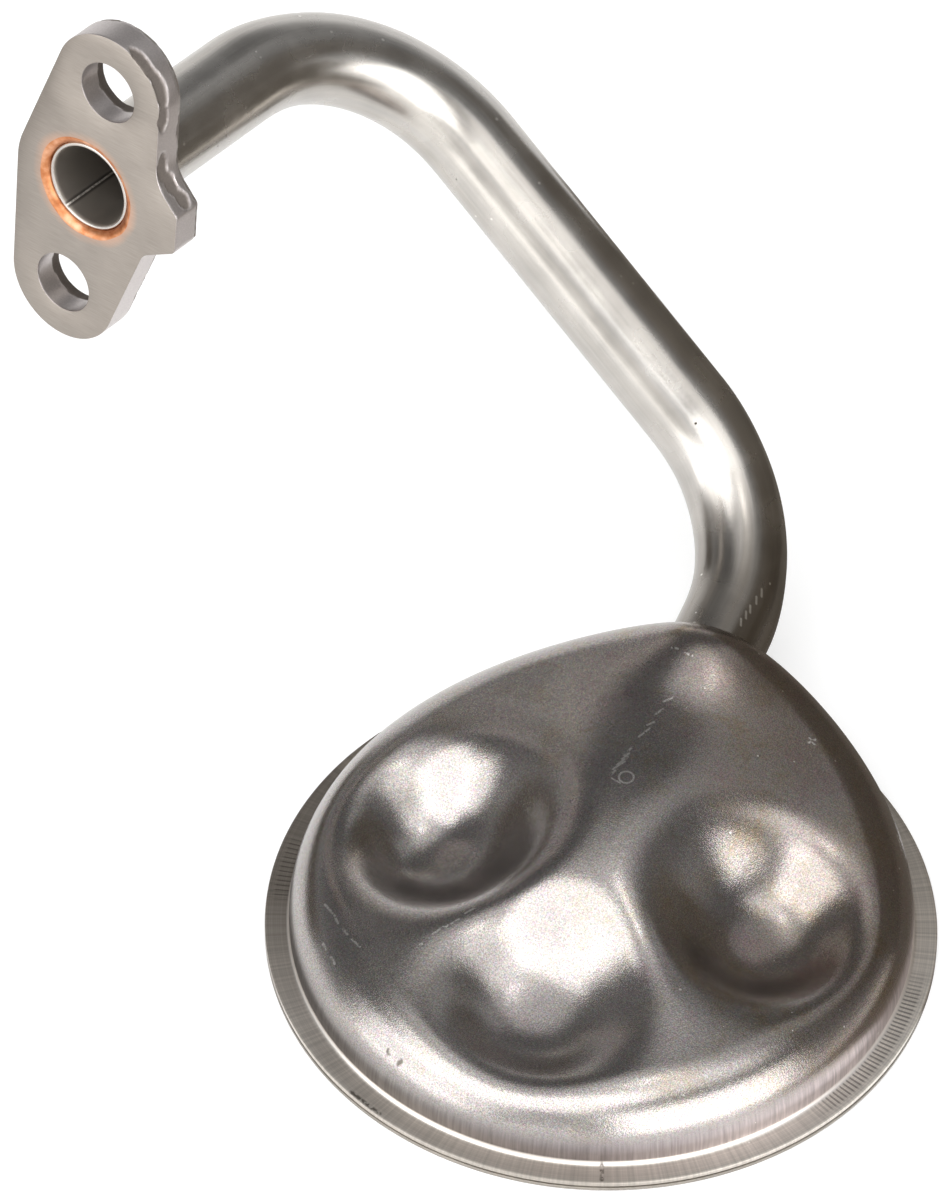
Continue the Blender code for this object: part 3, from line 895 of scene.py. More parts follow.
def drawn_tube_steel(settings, length):
    """Bright drawn low-carbon steel tube, tinted by the brazing furnace.

    The eye gets a satin grey with fine lines along the tube, small pits and pale specks, and a
    brown tint toward the hood.
    """
    material, tree, shader = new_metal("drawn_low_carbon_steel_tube", settings.steel, 0.25)
    straight = add_node(tree, "Attribute", attribute_name="straight").outputs["Vector"]
    drawn = add_node(tree, "Mapping", {"Vector": straight, "Scale": (0.03, 1, 1)})
    lines = noise_node(tree, drawn, 0.5, 4.0)
    broad = noise_node(tree, drawn, 4, 2.0)
    cloud = noise_node(tree, straight, 9, 4.0)
    grain = noise_node(tree, straight, 0.35, 2.0)
    along = add_node(tree, "SeparateXYZ", {0: straight})
    near_hood = ramped(tree, along, length - TINT_START, length - TINT_FULL)
    tint = times(tree, near_hood, ramped(tree, broad, 0.42, 0.62, 0.5, 0.85))
    base = mixed(tree, tint, settings.steel, settings.tint)
    # A faint straw tint in long patches.
    base = painted(tree, base, "#A99A7E", ramped(tree, broad, 0.44, 0.6, 0.0, 0.12))
    for texture, low, high in ((lines, 0.95, 1.04), (cloud, 0.86, 1.08), (broad, 0.97, 1.02)):
        base = toned(tree, base, texture, low, high)

    # Pale knocks and dark pits outside; dull, unworked steel inside the bore.
    across = add_node(tree, "VectorMath", {0: straight, 1: (0, 1, 1)}, operation="MULTIPLY")
    inner = settings.diameter / 2 - settings.wall
    in_bore = ramped(tree, length_of(tree, across), inner + 0.05 * MM, inner + 0.25 * MM, 1.0, 0.0)
    outside = math_node(tree, "SUBTRACT", 1.0, in_bore)
    knocks = specks(tree, straight, 2.6, 0.32, 0.3)
    pits = specks(tree, straight, 3.4, 0.3, 0.25)
    plan = flattened(tree, add_node(tree, "TexCoord").outputs["Object"])
    for start in TICK_STARTS:
        x = TICK_X - (start - TICK_STARTS[0]) * TICK_DRIFT
        tick = near_stroke(tree, plan, (x, start, x - TICK_LEAN, start + TICK_LENGTH), 0.24 * MM)
        knocks = math_node(tree, "MAXIMUM", knocks, tick)
    base = painted(tree, base, "#E9E6E0", knocks, outside)
    base = painted(tree, base, "#4E4841", pits, outside)
    base = painted(tree, base, "#A39C94", in_bore)

    # The weld's seam down the bore: a lumpy ridge with a painted highlight on it and painted shade on
    # both sides.
    seam = Vector((0, math.cos(SEAM_ANGLE), math.sin(SEAM_ANGLE)))
    beside = math_node(tree, "ABSOLUTE", dotted(tree, straight, seam.cross(Vector((1, 0, 0)))))
    on_side = math_node(tree, "GREATER_THAN", dotted(tree, straight, seam), 0.0)
    shade = ramped(tree, beside, 0.4 * MM, 0.7 * MM, 0.6, 0.0)
    base = painted(tree, base, "#2E2924", shade, on_side, in_bore)
    # Painted highlight along the seam's ridge.
    ridge = ramped(tree, beside, 0.12 * MM, 0.2 * MM, 1.0, 0.0)
    lumps = ramped(tree, grain, 0.35, 0.6, 0.4, 1.0)
    base = painted(tree, base, "#F2ECE4", ridge, lumps, on_side, in_bore)

    rough = ramped(tree, cloud, 0.3, 0.7, 0.22, 0.3)
    rough = math_node(tree, "ADD", rough, times(tree, in_bore, 0.3))
    relief = math_node(tree, "ADD", lines, grain)
    link_surface(tree, shader, base, relief, 0.5, 0.008, rough)
    return material


# Ticks across the tube near the hood, seen from above: each one's Y, and the rest in millimetres
TICK_STARTS = (52.1, 53.9, 55.4, 57.6, 59.5)
TICK_X = -10.3
TICK_DRIFT = 0.15
TICK_LEAN = 0.7
TICK_LENGTH = 1.0


class PICKUP_OT_strainer_housing(Operator):
    """Build the deep-drawn housing with its hood, dimples, wall and flat rim"""

    bl_idname = "pickup.strainer_housing"
    bl_label = "Strainer housing"

    def execute(self, context):
        settings = context.scene.pickup_strainer
        tube = context.scene.pickup_tube
        _, _, lower, end = tube_route(tube)
        blank = new_object("housing_blank", loft("strainer_housing", housing_rings(settings)))
        rod = rod_mesh("hood_hole", end, lower, tube.diameter / 2 + 0.05 * MM)
        cutter = new_object("hood_hole", rod)
        blank.modifiers.new("hood_hole", "BOOLEAN").object = cutter
        context.view_layer.update()
        graph = context.evaluated_depsgraph_get()
        made = bpy.data.meshes.new_from_object(blank.evaluated_get(graph))
        for helper in (blank, cutter):
            bpy.data.objects.remove(helper)
        material = deep_drawn_steel(settings)
        add_piece("drawn_housing", made, material, "strainer_housing")
        return {"FINISHED"}


def housing_rings(settings):
    """Rings of the whole sheet: down its outside, round the rim's edge and back up inside."""
    rim_under = RETAINER_THICKNESS + GAP
    rim_top = rim_under + settings.sheet
    edge = settings.wall_radius + settings.rim_width
    rim_end = edge - 0.25 * MM
    profile = dome_profile(settings)
    wall_top = profile[-1][1]
    foot = rim_top + WALL_FILLET
    for step in range(1, WALL_RINGS):
        share = step / WALL_RINGS
        height = wall_top + (foot - wall_top) * share
        profile.append((settings.wall_radius, height, 1 - share))
    centre = settings.wall_radius + WALL_FILLET
    for step in range(FILLET_STEPS + 1):
        angle = math.pi * (1 + step / (2 * FILLET_STEPS))
        out = centre + WALL_FILLET * math.cos(angle)
        profile.append((out, foot + WALL_FILLET * math.sin(angle), 0.0))
    for share in (0.2, 0.4, 0.6, 0.8, 1.0):
        profile.append((centre + (rim_end - centre) * share, rim_top, 0.0))
    rim = [(edge - inset, rim_top - drop, 0.0) for inset, drop in RIM_ROUNDING]
    rim += [(edge - inset, rim_under + drop, 0.0) for inset, drop in RIM_ROUNDING[::-1]]
    outside = dome_rings(settings, profile)
    inside = inner_rings(outside, settings.sheet)
    return [*outside, *dome_rings(settings, rim), *inside[::-1]]


def arms_round(axis, count):
    """Unit vectors at even angles round an axis."""
    side = axis.orthogonal().normalized()
    other = axis.cross(side)
    angles = [math.tau * step / count for step in range(count)]
    return [side * math.cos(angle) + other * math.sin(angle) for angle in angles]


def rod_mesh(name, start, end, radius):
    """A plain round rod between two points, for cutting."""
    arms = arms_round((end - start).normalized(), HOLE_SIDES)
    rings = []
    for place, size in ((start, 0.0), (start, radius), (end, radius), (end, 0.0)):
        rings.append(np.array([place + arm * size for arm in arms]))
    return loft(name, rings)


def deep_drawn_steel(settings):
    """Deep-drawn low-carbon steel sheet, left as the press and the furnace made it.

    The eye gets a dark grainy satin on the stretched lid, brown tints round the hood, upright
    draw streaks on the wall and fine rings on the flat rim. Painted light and shade on the wall
    and rim change round the strainer, and a painted highlight runs along the fillet between them.
    """
    material, tree, shader = new_metal("deep_drawn_low_carbon_steel", settings.steel, 0.33)
    place = add_node(tree, "TexCoord").outputs["Object"]
    x, y, z = add_node(tree, "SeparateXYZ", {0: place}).outputs
    plan = flattened(tree, place)
    radius = length_of(tree, plan)
    on_rim = ramped(tree, radius, *RIM_BAND)
    on_wall = times(tree, ramped(tree, radius, *WALL_BAND), ramped(tree, z, *WALL_TOP_BAND, 1.0, 0.0))

    # The press stretched the lid's grains to about 0.2 mm, seen as a fine orange peel.
    grain = noise_node(tree, place, 0.22, 2.0)
    peel = noise_node(tree, place, 1.1, 2.0)
    cloud = noise_node(tree, place, 16, 5.0)

    # The die drew upright streaks about 0.4 mm apart down the wall.
    turned = add_node(tree, "VectorMath", {0: plan}, operation="NORMALIZE")
    wrapped = add_node(tree, "VectorMath", {0: turned, "Scale": settings.wall_radius}, operation="SCALE")
    flat = add_node(tree, "SeparateXYZ", {0: wrapped}).outputs
    drawn = add_node(tree, "CombineXYZ", {0: flat[0], 1: flat[1], 2: times(tree, z, 0.05)})
    streak = noise_node(tree, drawn, 0.4, 3.0)

    # The trimming tool left fine rings about 0.3 mm apart on the rim.
    ring_inputs = {"W": radius, "Scale": cycles(0.3), "Detail": 2.0}
    rings = add_node(tree, "TexNoise", ring_inputs, noise_dimensions="1D")

    # Brown heat tint toward the hood.
    side = dotted(tree, place, (0.6, 0.8, 0.0))
    browned = times(tree, ramped(tree, side, -5 * MM, 35 * MM), cloud)
    browned = ramped(tree, browned, 0.15, 0.7, 0.0, 0.8)
    base = mixed(tree, browned, settings.steel, settings.tint)
    base = toned(tree, base, grain, 0.66, 1.28)
    base = toned(tree, base, cloud, 0.86, 1.08)
    # Furnace oxide, olive in some places and violet in others.
    film = noise_node(tree, place, 11, 12.0, 0.85)
    oxide = mixed(tree, 1.0, base, colour_ramp(tree, film, OXIDE_TONES), "MULTIPLY")
    base = mixed(tree, ramped(tree, side, -25 * MM, 20 * MM, 0.35, 1.0), base, oxide)
    hue = noise_node(tree, place, 0.4, 1.0).outputs["Color"]
    base = mixed(tree, 0.22, base, hue, "OVERLAY")

    # Wall and rim, with the tool's streaks, rings and bars, and painted light and shade that change
    # round the strainer.
    degrees = times(tree, math_node(tree, "ARCTAN2", y, x), math.degrees(1))
    share = ramped(tree, degrees, -180, 180)
    wall, rim = (
        colour_ramp(tree, share, [((angle + 180) / 360, code) for angle, code in tones])
        for tones in (WALL_PAINTED_LIGHT_TONES, RIM_PAINTED_LIGHT_TONES)
    )
    base = mixed(tree, on_wall, base, toned(tree, wall, streak, 0.75, 1.15))
    rim = toned(tree, rim, rings, 0.9, 1.06)
    rim = toned(tree, rim, streak, 0.84, 1.1)
    rim = painted(tree, rim, "#4E4842", press_bars(tree, degrees, radius))
    base = mixed(tree, on_rim, base, rim)
    # A painted highlight runs along the fillet between them.
    low_down = ramped(tree, z, 2.35 * MM, 2.65 * MM, 0.85, 0.0)
    near_wall = ramped(tree, radius, 51.3 * MM, 51.55 * MM, 1.0, 0.0)
    base = painted(tree, base, "#F6F0EA", low_down, near_wall)
    base = painted(tree, base, "#F4F1EC", scratch_mask(tree, plan, place))
    dents = broken_strokes(tree, plan, DENTS, 0.45 * MM, (0.9, 2.0), (0.42, 0.55))
    base = painted(tree, base, "#4A433C", dents, 0.8)

    rough = ramped(tree, cloud, 0.3, 0.7, 0.18, 0.25)
    rough = blended(tree, math_node(tree, "MAXIMUM", on_wall, on_rim), rough, 0.42)
    lid = math_node(tree, "ADD", grain, times(tree, peel, 0.8))
    relief = blended(tree, on_rim, blended(tree, on_wall, lid, streak), rings)
    link_surface(tree, shader, base, relief, 1.0, 0.022, rough)
    return material


# Where the rim starts and where the wall starts, by radius, and the height the wall fades over
RIM_BAND = (51.2 * MM, 51.6 * MM)
WALL_BAND = (49.8 * MM, 50.9 * MM)
WALL_TOP_BAND = (5.5 * MM, 9.5 * MM)
OXIDE_TONES = ((0.36, "#F2E6CE"), (0.5, "#FFFFFF"), (0.64, "#F6E6EC"))
# Tone of the wall and of the rim round the strainer, by degrees: the steel with painted light, lighter
# round +X, and painted shade, darker round -X
WALL_PAINTED_LIGHT_TONES = (
    (-180, "#6E6966"),
    (-128, "#6C6764"),
    (-93, "#807B78"),
    (-54, "#968E8E"),
    (0, "#E2D6D6"),
    (30, "#C4B9B9"),
    (70, "#857E7B"),
)
RIM_PAINTED_LIGHT_TONES = (
    (-180, "#8E877F"),
    (-150, "#928B83"),
    (-120, "#D0C9C1"),
    (-53, "#B8B1A8"),
    (10, "#F0EAE2"),
    (40, "#E0D8CE"),
    (90, "#9A9289"),
)
# Scratches seen from above: start and end in millimetres
SCRATCHES = (
    # Ticks down the left flank of the hood
    (-8.2, 27.4, -7.3, 29.1),
    (-7.7, 24.5, -7.4, 26.1),
    (-7.4, 21.8, -6.9, 23.0),
    (-6.8, 20.1, -6.7, 21.4),
    (-7.0, 18.9, -6.7, 20.4),
    (-6.5, 14.2, -6.5, 16.3),
    (-6.3, 13.1, -6.1, 15.1),
    (-6.2, 11.8, -5.8, 14.3),
    (-6.2, 10.7, -5.6, 13.1),
    # Strokes beside the circle
    (-5.8, 9.5, -5.7, 10.7),
    (-5.2, 9.1, -3.4, 9.1),
    # Single strokes over the lid
    (-10.5, 36.3, -9.2, 36.5),
    (-13.1, 36.3, -12.0, 36.5),
    (13.4, 38.2, 13.8, 39.8),
    (13.0, 39.1, 14.2, 38.8),
    (32.2, 37.7, 34.4, 35.8),
    # Broken chains near the left shoulder and above the front dimple
    (-31.9, -32.5, -29.5, -33.5),
    (-29.0, -33.7, -27.4, -34.8),
    (-26.0, -35.3, -24.6, -35.9),
    (-23.4, -36.3, -21.3, -36.9),
    (-27.7, -38.4, -26.4, -39.1),
    (-24.8, -40.0, -23.4, -40.8),
    (-13.4, -32.1, -13.1, -31.2),
    (-12.8, -28.7, -12.2, -26.6),
    (-11.9, -26.4, -11.1, -24.0),
    (-11.0, -22.5, -10.3, -20.7),
)
# A small scratched circle, in millimetres
RING_CENTRE = (-3.4, 10.6)
RING_RADIUS = 1.2
# Dark chips and dents, seen from above: start and end in millimetres
DENTS = (
    (-10.1, -53.6, -3.8, -54.4),
    (30.7, -41.2, 32.4, -43.5),
    (-6.7, -48.4, -6.3, -48.6),
    (-4.1, -49.1, -3.7, -48.8),
)
# Bars that the press left on the rim: from and to in degrees, pitch, share of the pitch
PRESS_BARS = ((-14, 26, 0.92, 0.4), (-163, -146, 1.1, 0.25))


def press_bars(tree, degrees, radius):
    """Mask of the radial bars on the rim, fading at both ends of each row."""
    mask = 0.0
    for start, end, pitch, share in PRESS_BARS:
        middle, half = (start + end) / 2, (end - start) / 2
        away = math_node(tree, "ABSOLUTE", math_node(tree, "SUBTRACT", degrees, middle))
        inside = ramped(tree, away, half * 0.7, half, 1.0, 0.0)
        wave = math_node(tree, "FRACT", math_node(tree, "DIVIDE", degrees, pitch))
        bar = times(tree, math_node(tree, "LESS_THAN", wave, share), inside)
        mask = math_node(tree, "MAXIMUM", bar, mask)
    return times(tree, mask, ramped(tree, radius, 53.6 * MM, 54.2 * MM, 0.6, 0.0))


def scratch_mask(tree, plan, place):
    """Mask of the lid's handling marks: scratches, a small circle and specks."""
    mask = broken_strokes(tree, plan, SCRATCHES, 0.26 * MM, (0.7, 1.0), (0.36, 0.5))
    centre = Vector((*RING_CENTRE, 0)) * MM
    away = add_node(tree, "VectorMath", {0: plan, 1: centre}, operation="DISTANCE")
    line = math_node(tree, "SUBTRACT", away.outputs["Value"], RING_RADIUS * MM)
    line = math_node(tree, "ABSOLUTE", line)
    ring = ramped(tree, line, 0.12 * MM, 0.22 * MM, 1.0, 0.0)
    right = ramped(tree, dotted(tree, place, (0.8, 0.6, 0.0)), -8 * MM, 12 * MM)
    dots = times(tree, specks(tree, place, 2.3, 0.26, 0.35), right)
    mask = math_node(tree, "MAXIMUM", math_node(tree, "MAXIMUM", mask, ring), dots)
    return times(tree, mask, 0.75)


class PICKUP_OT_housing_braze(Operator):
    """Build the copper fillet where the tube enters the hood"""

    bl_idname = "pickup.housing_braze"
    bl_label = "Housing braze"

    def execute(self, context):
        tube = context.scene.pickup_tube
        settings = context.scene.pickup_strainer
        _, _, lower, end = tube_route(tube)
        along = (lower - end).normalized()
        radius = tube.diameter / 2
        # Six points round the fillet's section, at each arm round the tube
        rings = [[] for _ in range(6)]
        for arm in arms_round(along, 120):
            width = (0.75 + 0.2 * speckle(arm * 8 * MM, 3 * MM)) * MM
            place = end + arm * radius
            middle = end + arm * (radius + 0.25 * MM)
            wide = end + arm * (radius + width)
            near = dome_exit(settings, place, along)
            far = dome_exit(settings, wide, along)
            rings[0].append(place + along * (near + 0.5 * MM) + arm * 0.03 * MM)
            rings[1].append(middle + along * (near + 0.28 * MM))
            rings[2].append(middle + arm * 0.2 * MM + along * ((near + far) / 2 + 0.14 * MM))
            rings[3].append(wide + along * (far + 0.03 * MM))
            rings[4].append(wide + along * (far - 0.05 * MM))
            rings[5].append(place + along * (near - 0.4 * MM) + arm * 0.03 * MM)
        mesh = loft("housing_braze_ring", [np.array(ring) for ring in rings])
        colour = context.scene.pickup_flange.copper
        material = furnace_copper("furnace_brazed_copper_fillet", colour)
        add_piece("hood_copper", mesh, material, "housing_braze_ring")
        return {"FINISHED"}


def dome_exit(settings, place, along):
    """Distance along a direction at which a point leaves the dome's outside."""
    low, high = 0.0, 30 * MM
    for _ in range(24):
        middle = (low + high) / 2
        point = place + along * middle
        radius = math.hypot(point.x, point.y)
        top = settings.lid_height + float(hood_rise(point.x, point.y, settings))
        out = radius - (settings.wall_radius - SHOULDER_RADIUS)
        if out > 0:
            top += math.sqrt(max(0.0, SHOULDER_RADIUS**2 - out**2)) - SHOULDER_RADIUS
        inside = radius < settings.wall_radius and point.z < top
        low, high = (middle, high) if inside else (low, middle)
    return low


class PICKUP_OT_screen_retainer(Operator):
    """Build the pressed sheet with spokes that carries the screen"""

    bl_idname = "pickup.screen_retainer"
    bl_label = "Screen retainer"

    def execute(self, context):
        settings = context.scene.pickup_strainer
        edge = settings.wall_radius + settings.rim_width
        shape = bmesh.new()
        walls = []
        for loop in [circle(edge, HOUSING_SEGMENTS), *retainer_windows(edge - RETAINER_RING_WIDTH)]:
            normals = loop_normals(loop)
            inward = -1 if walls else 1
            rings = []
            for height, inset in retainer_levels():
                ring = []
                for place, normal in zip(loop, normals):
                    point = place - normal * inset * inward
                    ring.append(shape.verts.new((point.x, point.y, height)))
                rings.append(ring)
            walls.append(rings)
        mesh = closed_plate("screen_retainer", shape, walls)
        material = pressed_sheet_steel(context.scene.pickup_screen)
        add_piece("pressed_retainer", mesh, material, "screen_retainer")
        return {"FINISHED"}


def retainer_levels():
    """(height, inset) of the rings up the sheet's edge, burr side down."""
    top = RETAINER_THICKNESS
    return [
        (top, 0.12 * MM),
        (top - 0.06 * MM, 0.02 * MM),
        (top - 0.2 * MM, 0.0),
        (0.06 * MM, 0.0),
        (0.0, 0.08 * MM),
    ]


def retainer_windows(ring_radius):
    """Outlines of the windows between the spokes, the hub and the outer ring."""
    outer_inset = math.asin(SPOKE_WIDTH / 2 / ring_radius)
    hub_inset = math.asin(SPOKE_WIDTH / 2 / HUB_RADIUS)
    windows = []
    for index in range(SPOKE_COUNT):
        first = index * math.tau / SPOKE_COUNT
        last = first + math.tau / SPOKE_COUNT
        loop = arc(ring_radius, first + outer_inset, last - outer_inset, 40)
        hub = arc(HUB_RADIUS, last - hub_inset, first + hub_inset, 8)
        window = rounded_corner(hub[-1], loop[0], loop[4]) + loop[4:-4]
        window += rounded_corner(loop[-5], loop[-1], hub[0]) + hub
        windows.append(window)
    return windows


def arc(radius, start, end, steps):
    return [polar(radius, start + (end - start) * s / steps) for s in range(steps + 1)]


def rounded_corner(before, corner, after):
    return fillet(before, corner, after, WINDOW_CORNER, 0.3 * MM)


def pressed_sheet_steel(settings):
    """Cold-rolled steel sheet, pressed.

    The eye gets fine rolling lines and a soft satin shine.
    """
    material, tree, shader = new_metal("pressed_cold_rolled_steel", settings.retainer, 0.36)
    place = add_node(tree, "TexCoord").outputs["Object"]
    rolled = add_node(tree, "Mapping", {"Vector": place, "Scale": (0.04, 1, 1)})
    lines = noise_node(tree, rolled, 0.35, 3.0)
    cloud = noise_node(tree, place, 12, 4.0)
    base = toned(tree, settings.retainer, lines, 0.88, 1.08)
    base = toned(tree, base, cloud, 0.85, 1.08)
    rough = ramped(tree, cloud, 0.3, 0.7, 0.3, 0.42)
    link_surface(tree, shader, base, lines, 0.4, 0.01, rough)
    return material


class PICKUP_OT_wire_screen(Operator):
    """Weave the wire cloth that lies on the retainer"""

    bl_idname = "pickup.wire_screen"
    bl_label = "Wire screen"

    def execute(self, context):
        settings = context.scene.pickup_screen
        strainer = context.scene.pickup_strainer
        reach = strainer.wall_radius - strainer.sheet - GAP
        low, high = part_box("wire_screen")
        middle = (low[2] + high[2]) / 2
        lift = (high[2] - low[2]) / 2 - settings.wire / 2
        count = int(reach / settings.pitch)
        points, faces = [], []
        for warp in (True, False):
            for index in range(-count, count + 1):
                offset = index * settings.pitch
                half = math.sqrt(max(0.0, reach**2 - offset**2)) - settings.wire
                if half < settings.pitch:
                    continue
                add_wire(points, faces, settings, (warp, index, offset, half, middle, lift))
        mesh = bpy.data.meshes.new("wire_screen")
        mesh.from_pydata(points, [], faces)
        material = woven_wire_steel(settings)
        add_piece("woven_wire_cloth", mesh, material, "wire_screen")
        return {"FINISHED"}


def add_wire(points, faces, settings, place):
    """Adds one crimped wire that goes over and under the wires it crosses."""
    warp, index, offset, half, middle, lift = place
    sides = 5
    steps = max(8, int(2 * half / (settings.pitch / 4)))
    phase = math.pi * (index + (0 if warp else 1))
    first = len(points)
    for step in range(steps + 1):
        along = -half + 2 * half * step / steps
        height = middle + lift * math.cos(math.pi * along / settings.pitch + phase)
        for side in range(sides):
            angle = math.tau * side / sides
            out = offset + settings.wire / 2 * math.cos(angle)
            up = height + settings.wire / 2 * math.sin(angle)
            points.append((along, out, up) if warp else (out, along, up))
    for step in range(steps):
        for side in range(sides):
            here = first + step * sides
            after = (side + 1) % sides
            quad = (here + side, here + after, here + sides + after, here + sides + side)
            faces.append(quad if warp else quad[::-1])
    ends = [tuple(range(first, first + sides))]
    ends.append(tuple(range(first + steps * sides, first + (steps + 1) * sides)))
    faces.append(ends[0][::-1] if warp else ends[0])
    faces.append(ends[1] if warp else ends[1][::-1])


def woven_wire_steel(settings):
    """Drawn low-carbon steel wire, woven into cloth.

    The eye gets bright wires, darker in the patches where oil stays.
    """
    material, tree, shader = new_metal("woven_low_carbon_steel_wire", settings.steel, 0.32)
    place = add_node(tree, "TexCoord").outputs["Object"]
    base = toned(tree, settings.steel, noise_node(tree, place, 5, 4.0), 0.7, 1.05)
    link_surface(tree, shader, base, noise_node(tree, place, 0.2, 2.0), 0.3, 0.01)
    return material


class PICKUP_OT_studio(Operator):
    """Set the floor, the lamps, the world and the camera"""

    bl_idname = "pickup.studio"
    bl_label = "Studio"

    def execute(self, context):
        settings = context.scene.pickup_studio
        add_floor(settings)
        add_world()
        for lamp in LAMPS:
            add_lamp(settings, *lamp)
        for name, start, end, height in UPRIGHT_CARDS:
            corners = [(*start, 0), (*end, 0), (*end, height), (*start, height)]
            add_card(name, corners, "#5E5850")
        add_card("floor_card", [(*corner, FLOOR_CARD_HEIGHT) for corner in FLOOR_CARD], "#6E675E")
        add_camera(settings)
        context.scene.view_settings.view_transform = "Standard"
        return {"FINISHED"}


# Each soft box: degrees to the camera's right, degrees up, width, height, brightness
LAMPS = (
    ("right_softbox", 33, 20, 1.62, 1.1, 3.2),
    ("left_softbox", -60, 22, 1.3, 1.2, 2.2),
    ("left_arch", -38, 57, 1.5, 0.85, 2.6),
    ("right_arch", 38, 64, 1.15, 0.6, 1.5),
    ("front_fill", -16, 18, 0.7, 1.0, 0.75),
    ("back_fill", 132, 52, 0.7, 0.5, 0.28),
    ("ceiling_spot", 60, 84, 0.2, 0.2, 5.0),
)
LAMP_DISTANCE = 1.5
FLOOR_SIZE = 8.0
FLOOR_DROP = 0.2 * MM
FLOOR_GLOW = 0.45
# Brightness of the room by the sine of the elevation
ROOM_TONES = ((0.0, 1.0), (0.08, 0.6), (0.24, 0.3), (0.5, 0.16), (0.86, 0.17), (0.98, 1.1))
# Each upright card: both ends of its foot and its height in metres
UPRIGHT_CARDS = (
    ("near_card", (0.105, 0.095), (-0.07, 0.165), 0.1),
    ("far_card", (0.17, 0.2), (0.03, 0.34), 0.28),
    ("left_card", (-0.24, 0.1), (-0.24, -0.09), 0.07),
)
# The card on the floor: its outline in metres, which keeps clear of the part
FLOOR_CARD = (
    (0.056, 0.012),
    (0.19, -0.06),
    (0.19, 0.26),
    (-0.108, 0.3),
    (-0.108, 0.134),
    (-0.087, 0.121),
    (-0.043, 0.096),
    (-0.02, 0.075),
    (-0.006, 0.057),
    (0.03, 0.05),
)
FLOOR_CARD_HEIGHT = 0.4 * MM
CAMERA_AZIMUTH = math.radians(126.57)
CAMERA_ELEVATION = math.radians(47.11)
CAMERA_ROLL = math.radians(0.85)
FOCAL_PIXELS = 7940.4
IMAGE_SIZE = (947, 1200)
FOOT_IN_IMAGE = (600.82, 927.54)


def add_board(name, corners, material_name, colour):
    """A flat, dull sheet of the studio with one face; returns its object and its material."""
    mesh = bpy.data.meshes.new(name)
    mesh.from_pydata(corners, [], [tuple(range(len(corners)))])
    material = bpy.data.materials.new(material_name)
    material.use_nodes = True
    shader = material.node_tree.nodes["Principled BSDF"]
    shader.inputs["Base Color"].default_value = (*colour, 1)
    shader.inputs["Roughness"].default_value = 0.9
    mesh.materials.append(material)
    board = new_object(name, mesh)
    return board, material


def add_floor(settings):
    """A pale floor that looks white to the eye and in reflections, and keeps the shadow."""
    half = FLOOR_SIZE / 2
    corners = [(-half, -half, 0), (half, -half, 0), (half, half, 0), (-half, half, 0)]
    floor, material = add_board("studio_floor", corners, "matt_white_paper", settings.floor)
    floor.location.z = -FLOOR_DROP
    tree = material.node_tree
    shader = tree.nodes["Principled BSDF"]
    rays = add_node(tree, "LightPath").outputs
    seen = math_node(tree, "MAXIMUM", rays["Is Camera Ray"], rays["Is Glossy Ray"])
    seen = math_node(tree, "MAXIMUM", seen, rays["Is Transmission Ray"])
    shader.inputs["Emission Color"].default_value = (1, 1, 1, 1)
    tree.links.new(times(tree, seen, FLOOR_GLOW), shader.inputs["Emission Strength"])


def add_world():
    """A dim room: pale near the horizon, most of all behind, dark above it, pale overhead."""
    world = bpy.data.worlds.new("studio_room")
    bpy.context.scene.world = world
    world.use_nodes = True
    tree = world.node_tree
    toward = add_node(tree, "TexCoord").outputs["Generated"]
    height = add_node(tree, "SeparateXYZ", {0: toward}).outputs[2]
    behind = dotted(tree, toward, heading(CAMERA_AZIMUTH, 0))
    lift = ramped(tree, behind, 0.45, 0.95, 0.0, 0.18)
    lowered = math_node(tree, "SUBTRACT", height, lift)
    tone = add_node(tree, "ValToRGB", {"Fac": lowered}, stops=ROOM_TONES)
    side = dotted(tree, toward, heading(CAMERA_AZIMUTH + math.pi / 2, 0))
    paler = ramped(tree, times(tree, side, side), 0, 1, 1.0, 1.35)
    room = mixed(tree, 1.0, tone, paler, "MULTIPLY")
    tree.links.new(room, tree.nodes["Background"].inputs["Color"])


def add_lamp(settings, name, side, up, width, height, brightness):
    """A soft box of even brightness, aimed at the strainer."""
    light = bpy.data.lights.new(name, "AREA")
    light.shape = "RECTANGLE"
    light.size, light.size_y = width, height
    light.energy = settings.lamps * brightness * math.pi * width * height
    lamp = new_object(name, light)
    azimuth = CAMERA_AZIMUTH + math.pi + math.radians(side)
    lamp.location = heading(azimuth, -math.radians(up)) * LAMP_DISTANCE
    lamp.rotation_euler = (-lamp.location).to_track_quat("-Z", "Y").to_euler()
    lamp.visible_camera = False


def add_card(name, corners, code):
    """A dull card beside the part, seen only in the steel, where it keeps the edges dark."""
    card, _ = add_board(name, corners, name + "_board", linear(code))
    card.visible_camera = False
    card.visible_diffuse = False
    card.visible_shadow = False


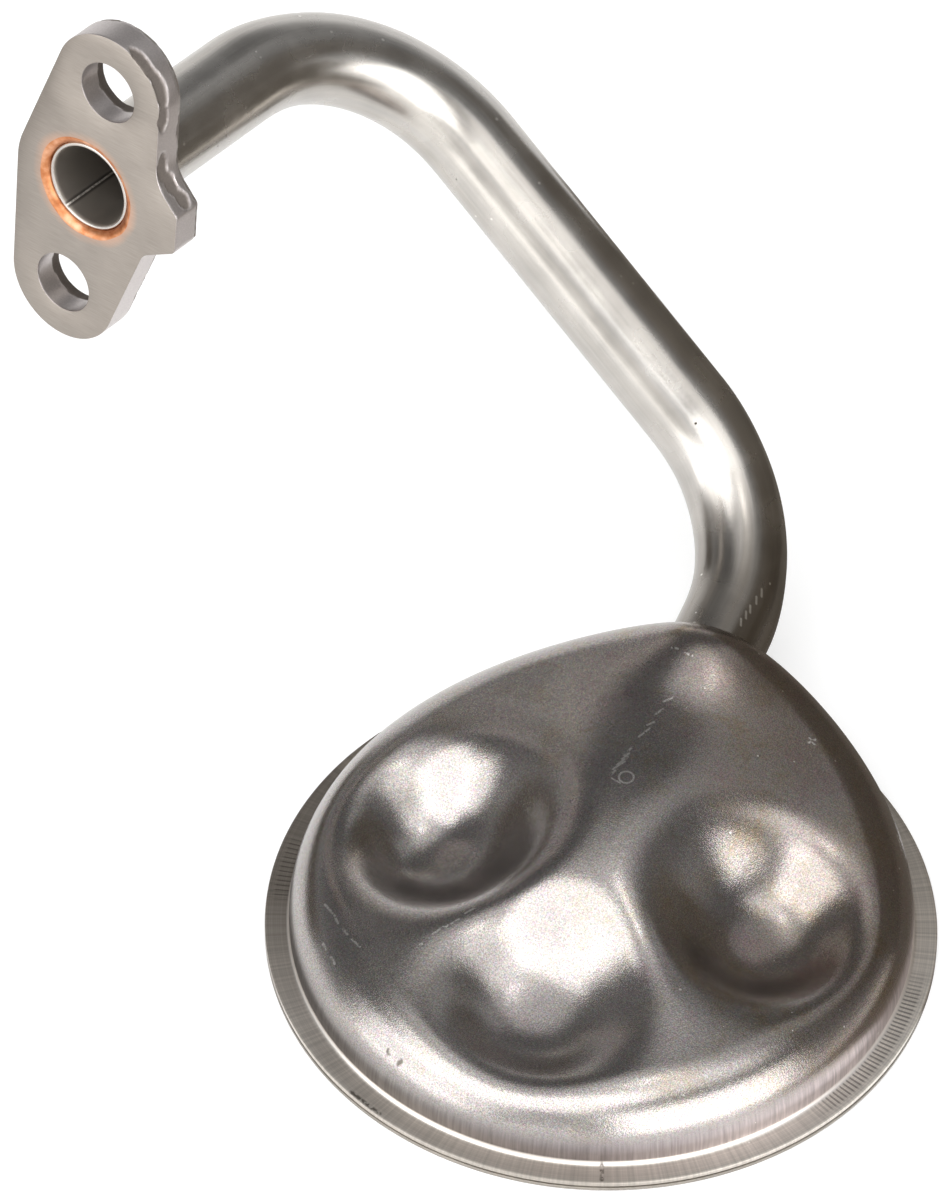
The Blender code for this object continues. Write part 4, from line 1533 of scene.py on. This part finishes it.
def add_camera(settings):
    """A long lens at the photograph's angle, with the strainer's foot at its place in the frame."""
    back = -heading(CAMERA_AZIMUTH, CAMERA_ELEVATION)
    right = Vector((math.sin(CAMERA_AZIMUTH), -math.cos(CAMERA_AZIMUTH), 0))
    up = back.cross(right)
    turned = right * math.cos(CAMERA_ROLL) + up * math.sin(CAMERA_ROLL)
    up = up * math.cos(CAMERA_ROLL) - right * math.sin(CAMERA_ROLL)
    across = (FOOT_IN_IMAGE[0] - IMAGE_SIZE[0] / 2) / FOCAL_PIXELS
    down = (FOOT_IN_IMAGE[1] - IMAGE_SIZE[1] / 2) / FOCAL_PIXELS
    ray = -back + turned * across - up * down
    data = bpy.data.cameras.new("camera")
    data.sensor_fit = "HORIZONTAL"
    data.sensor_width = 36.0
    data.lens = FOCAL_PIXELS * data.sensor_width / IMAGE_SIZE[0]
    data.clip_end = 20.0
    camera = new_object("camera", data)
    place = Matrix((turned, up, back)).transposed().to_4x4()
    place.translation = -ray * settings.distance
    camera.matrix_world = place
    bpy.context.scene.camera = camera


class PICKUP_PT_sidebar(Panel):
    """Buttons that build each piece"""

    bl_idname = "PICKUP_PT_sidebar"
    bl_label = "Oil Pickup Tube"
    bl_space_type = "VIEW_3D"
    bl_region_type = "UI"
    bl_category = "Pickup Tube"

    def draw(self, context):
        for operator in OPERATORS:
            self.layout.operator(operator.bl_idname)
        for name in SETTINGS:
            group = getattr(context.scene, name)
            box = self.layout.box()
            for key in group.bl_rna.properties.keys():
                if key not in ("rna_type", "name"):
                    box.prop(group, key)


SETTINGS = {
    "pickup_tube": TubeSettings,
    "pickup_flange": FlangeSettings,
    "pickup_strainer": StrainerSettings,
    "pickup_screen": ScreenSettings,
    "pickup_studio": StudioSettings,
}
OPERATORS = (
    PICKUP_OT_mounting_flange,
    PICKUP_OT_flange_braze,
    PICKUP_OT_pickup_tube,
    PICKUP_OT_strainer_housing,
    PICKUP_OT_housing_braze,
    PICKUP_OT_screen_retainer,
    PICKUP_OT_wire_screen,
    PICKUP_OT_studio,
)


def register():
    for name, group in SETTINGS.items():
        bpy.utils.register_class(group)
        setattr(bpy.types.Scene, name, PointerProperty(type=group))
    for operator in OPERATORS:
        bpy.utils.register_class(operator)
    bpy.utils.register_class(PICKUP_PT_sidebar)


def unregister():
    bpy.utils.unregister_class(PICKUP_PT_sidebar)
    for operator in reversed(OPERATORS):
        bpy.utils.unregister_class(operator)
    for name, group in SETTINGS.items():
        delattr(bpy.types.Scene, name)
        bpy.utils.unregister_class(group)


def main():
    register()
    bpy.ops.pickup.mounting_flange()
    bpy.ops.pickup.flange_braze()
    bpy.ops.pickup.pickup_tube()
    bpy.ops.pickup.strainer_housing()
    bpy.ops.pickup.housing_braze()
    bpy.ops.pickup.screen_retainer()
    bpy.ops.pickup.wire_screen()
    bpy.ops.pickup.studio()


if __name__ == "__main__":
    main()
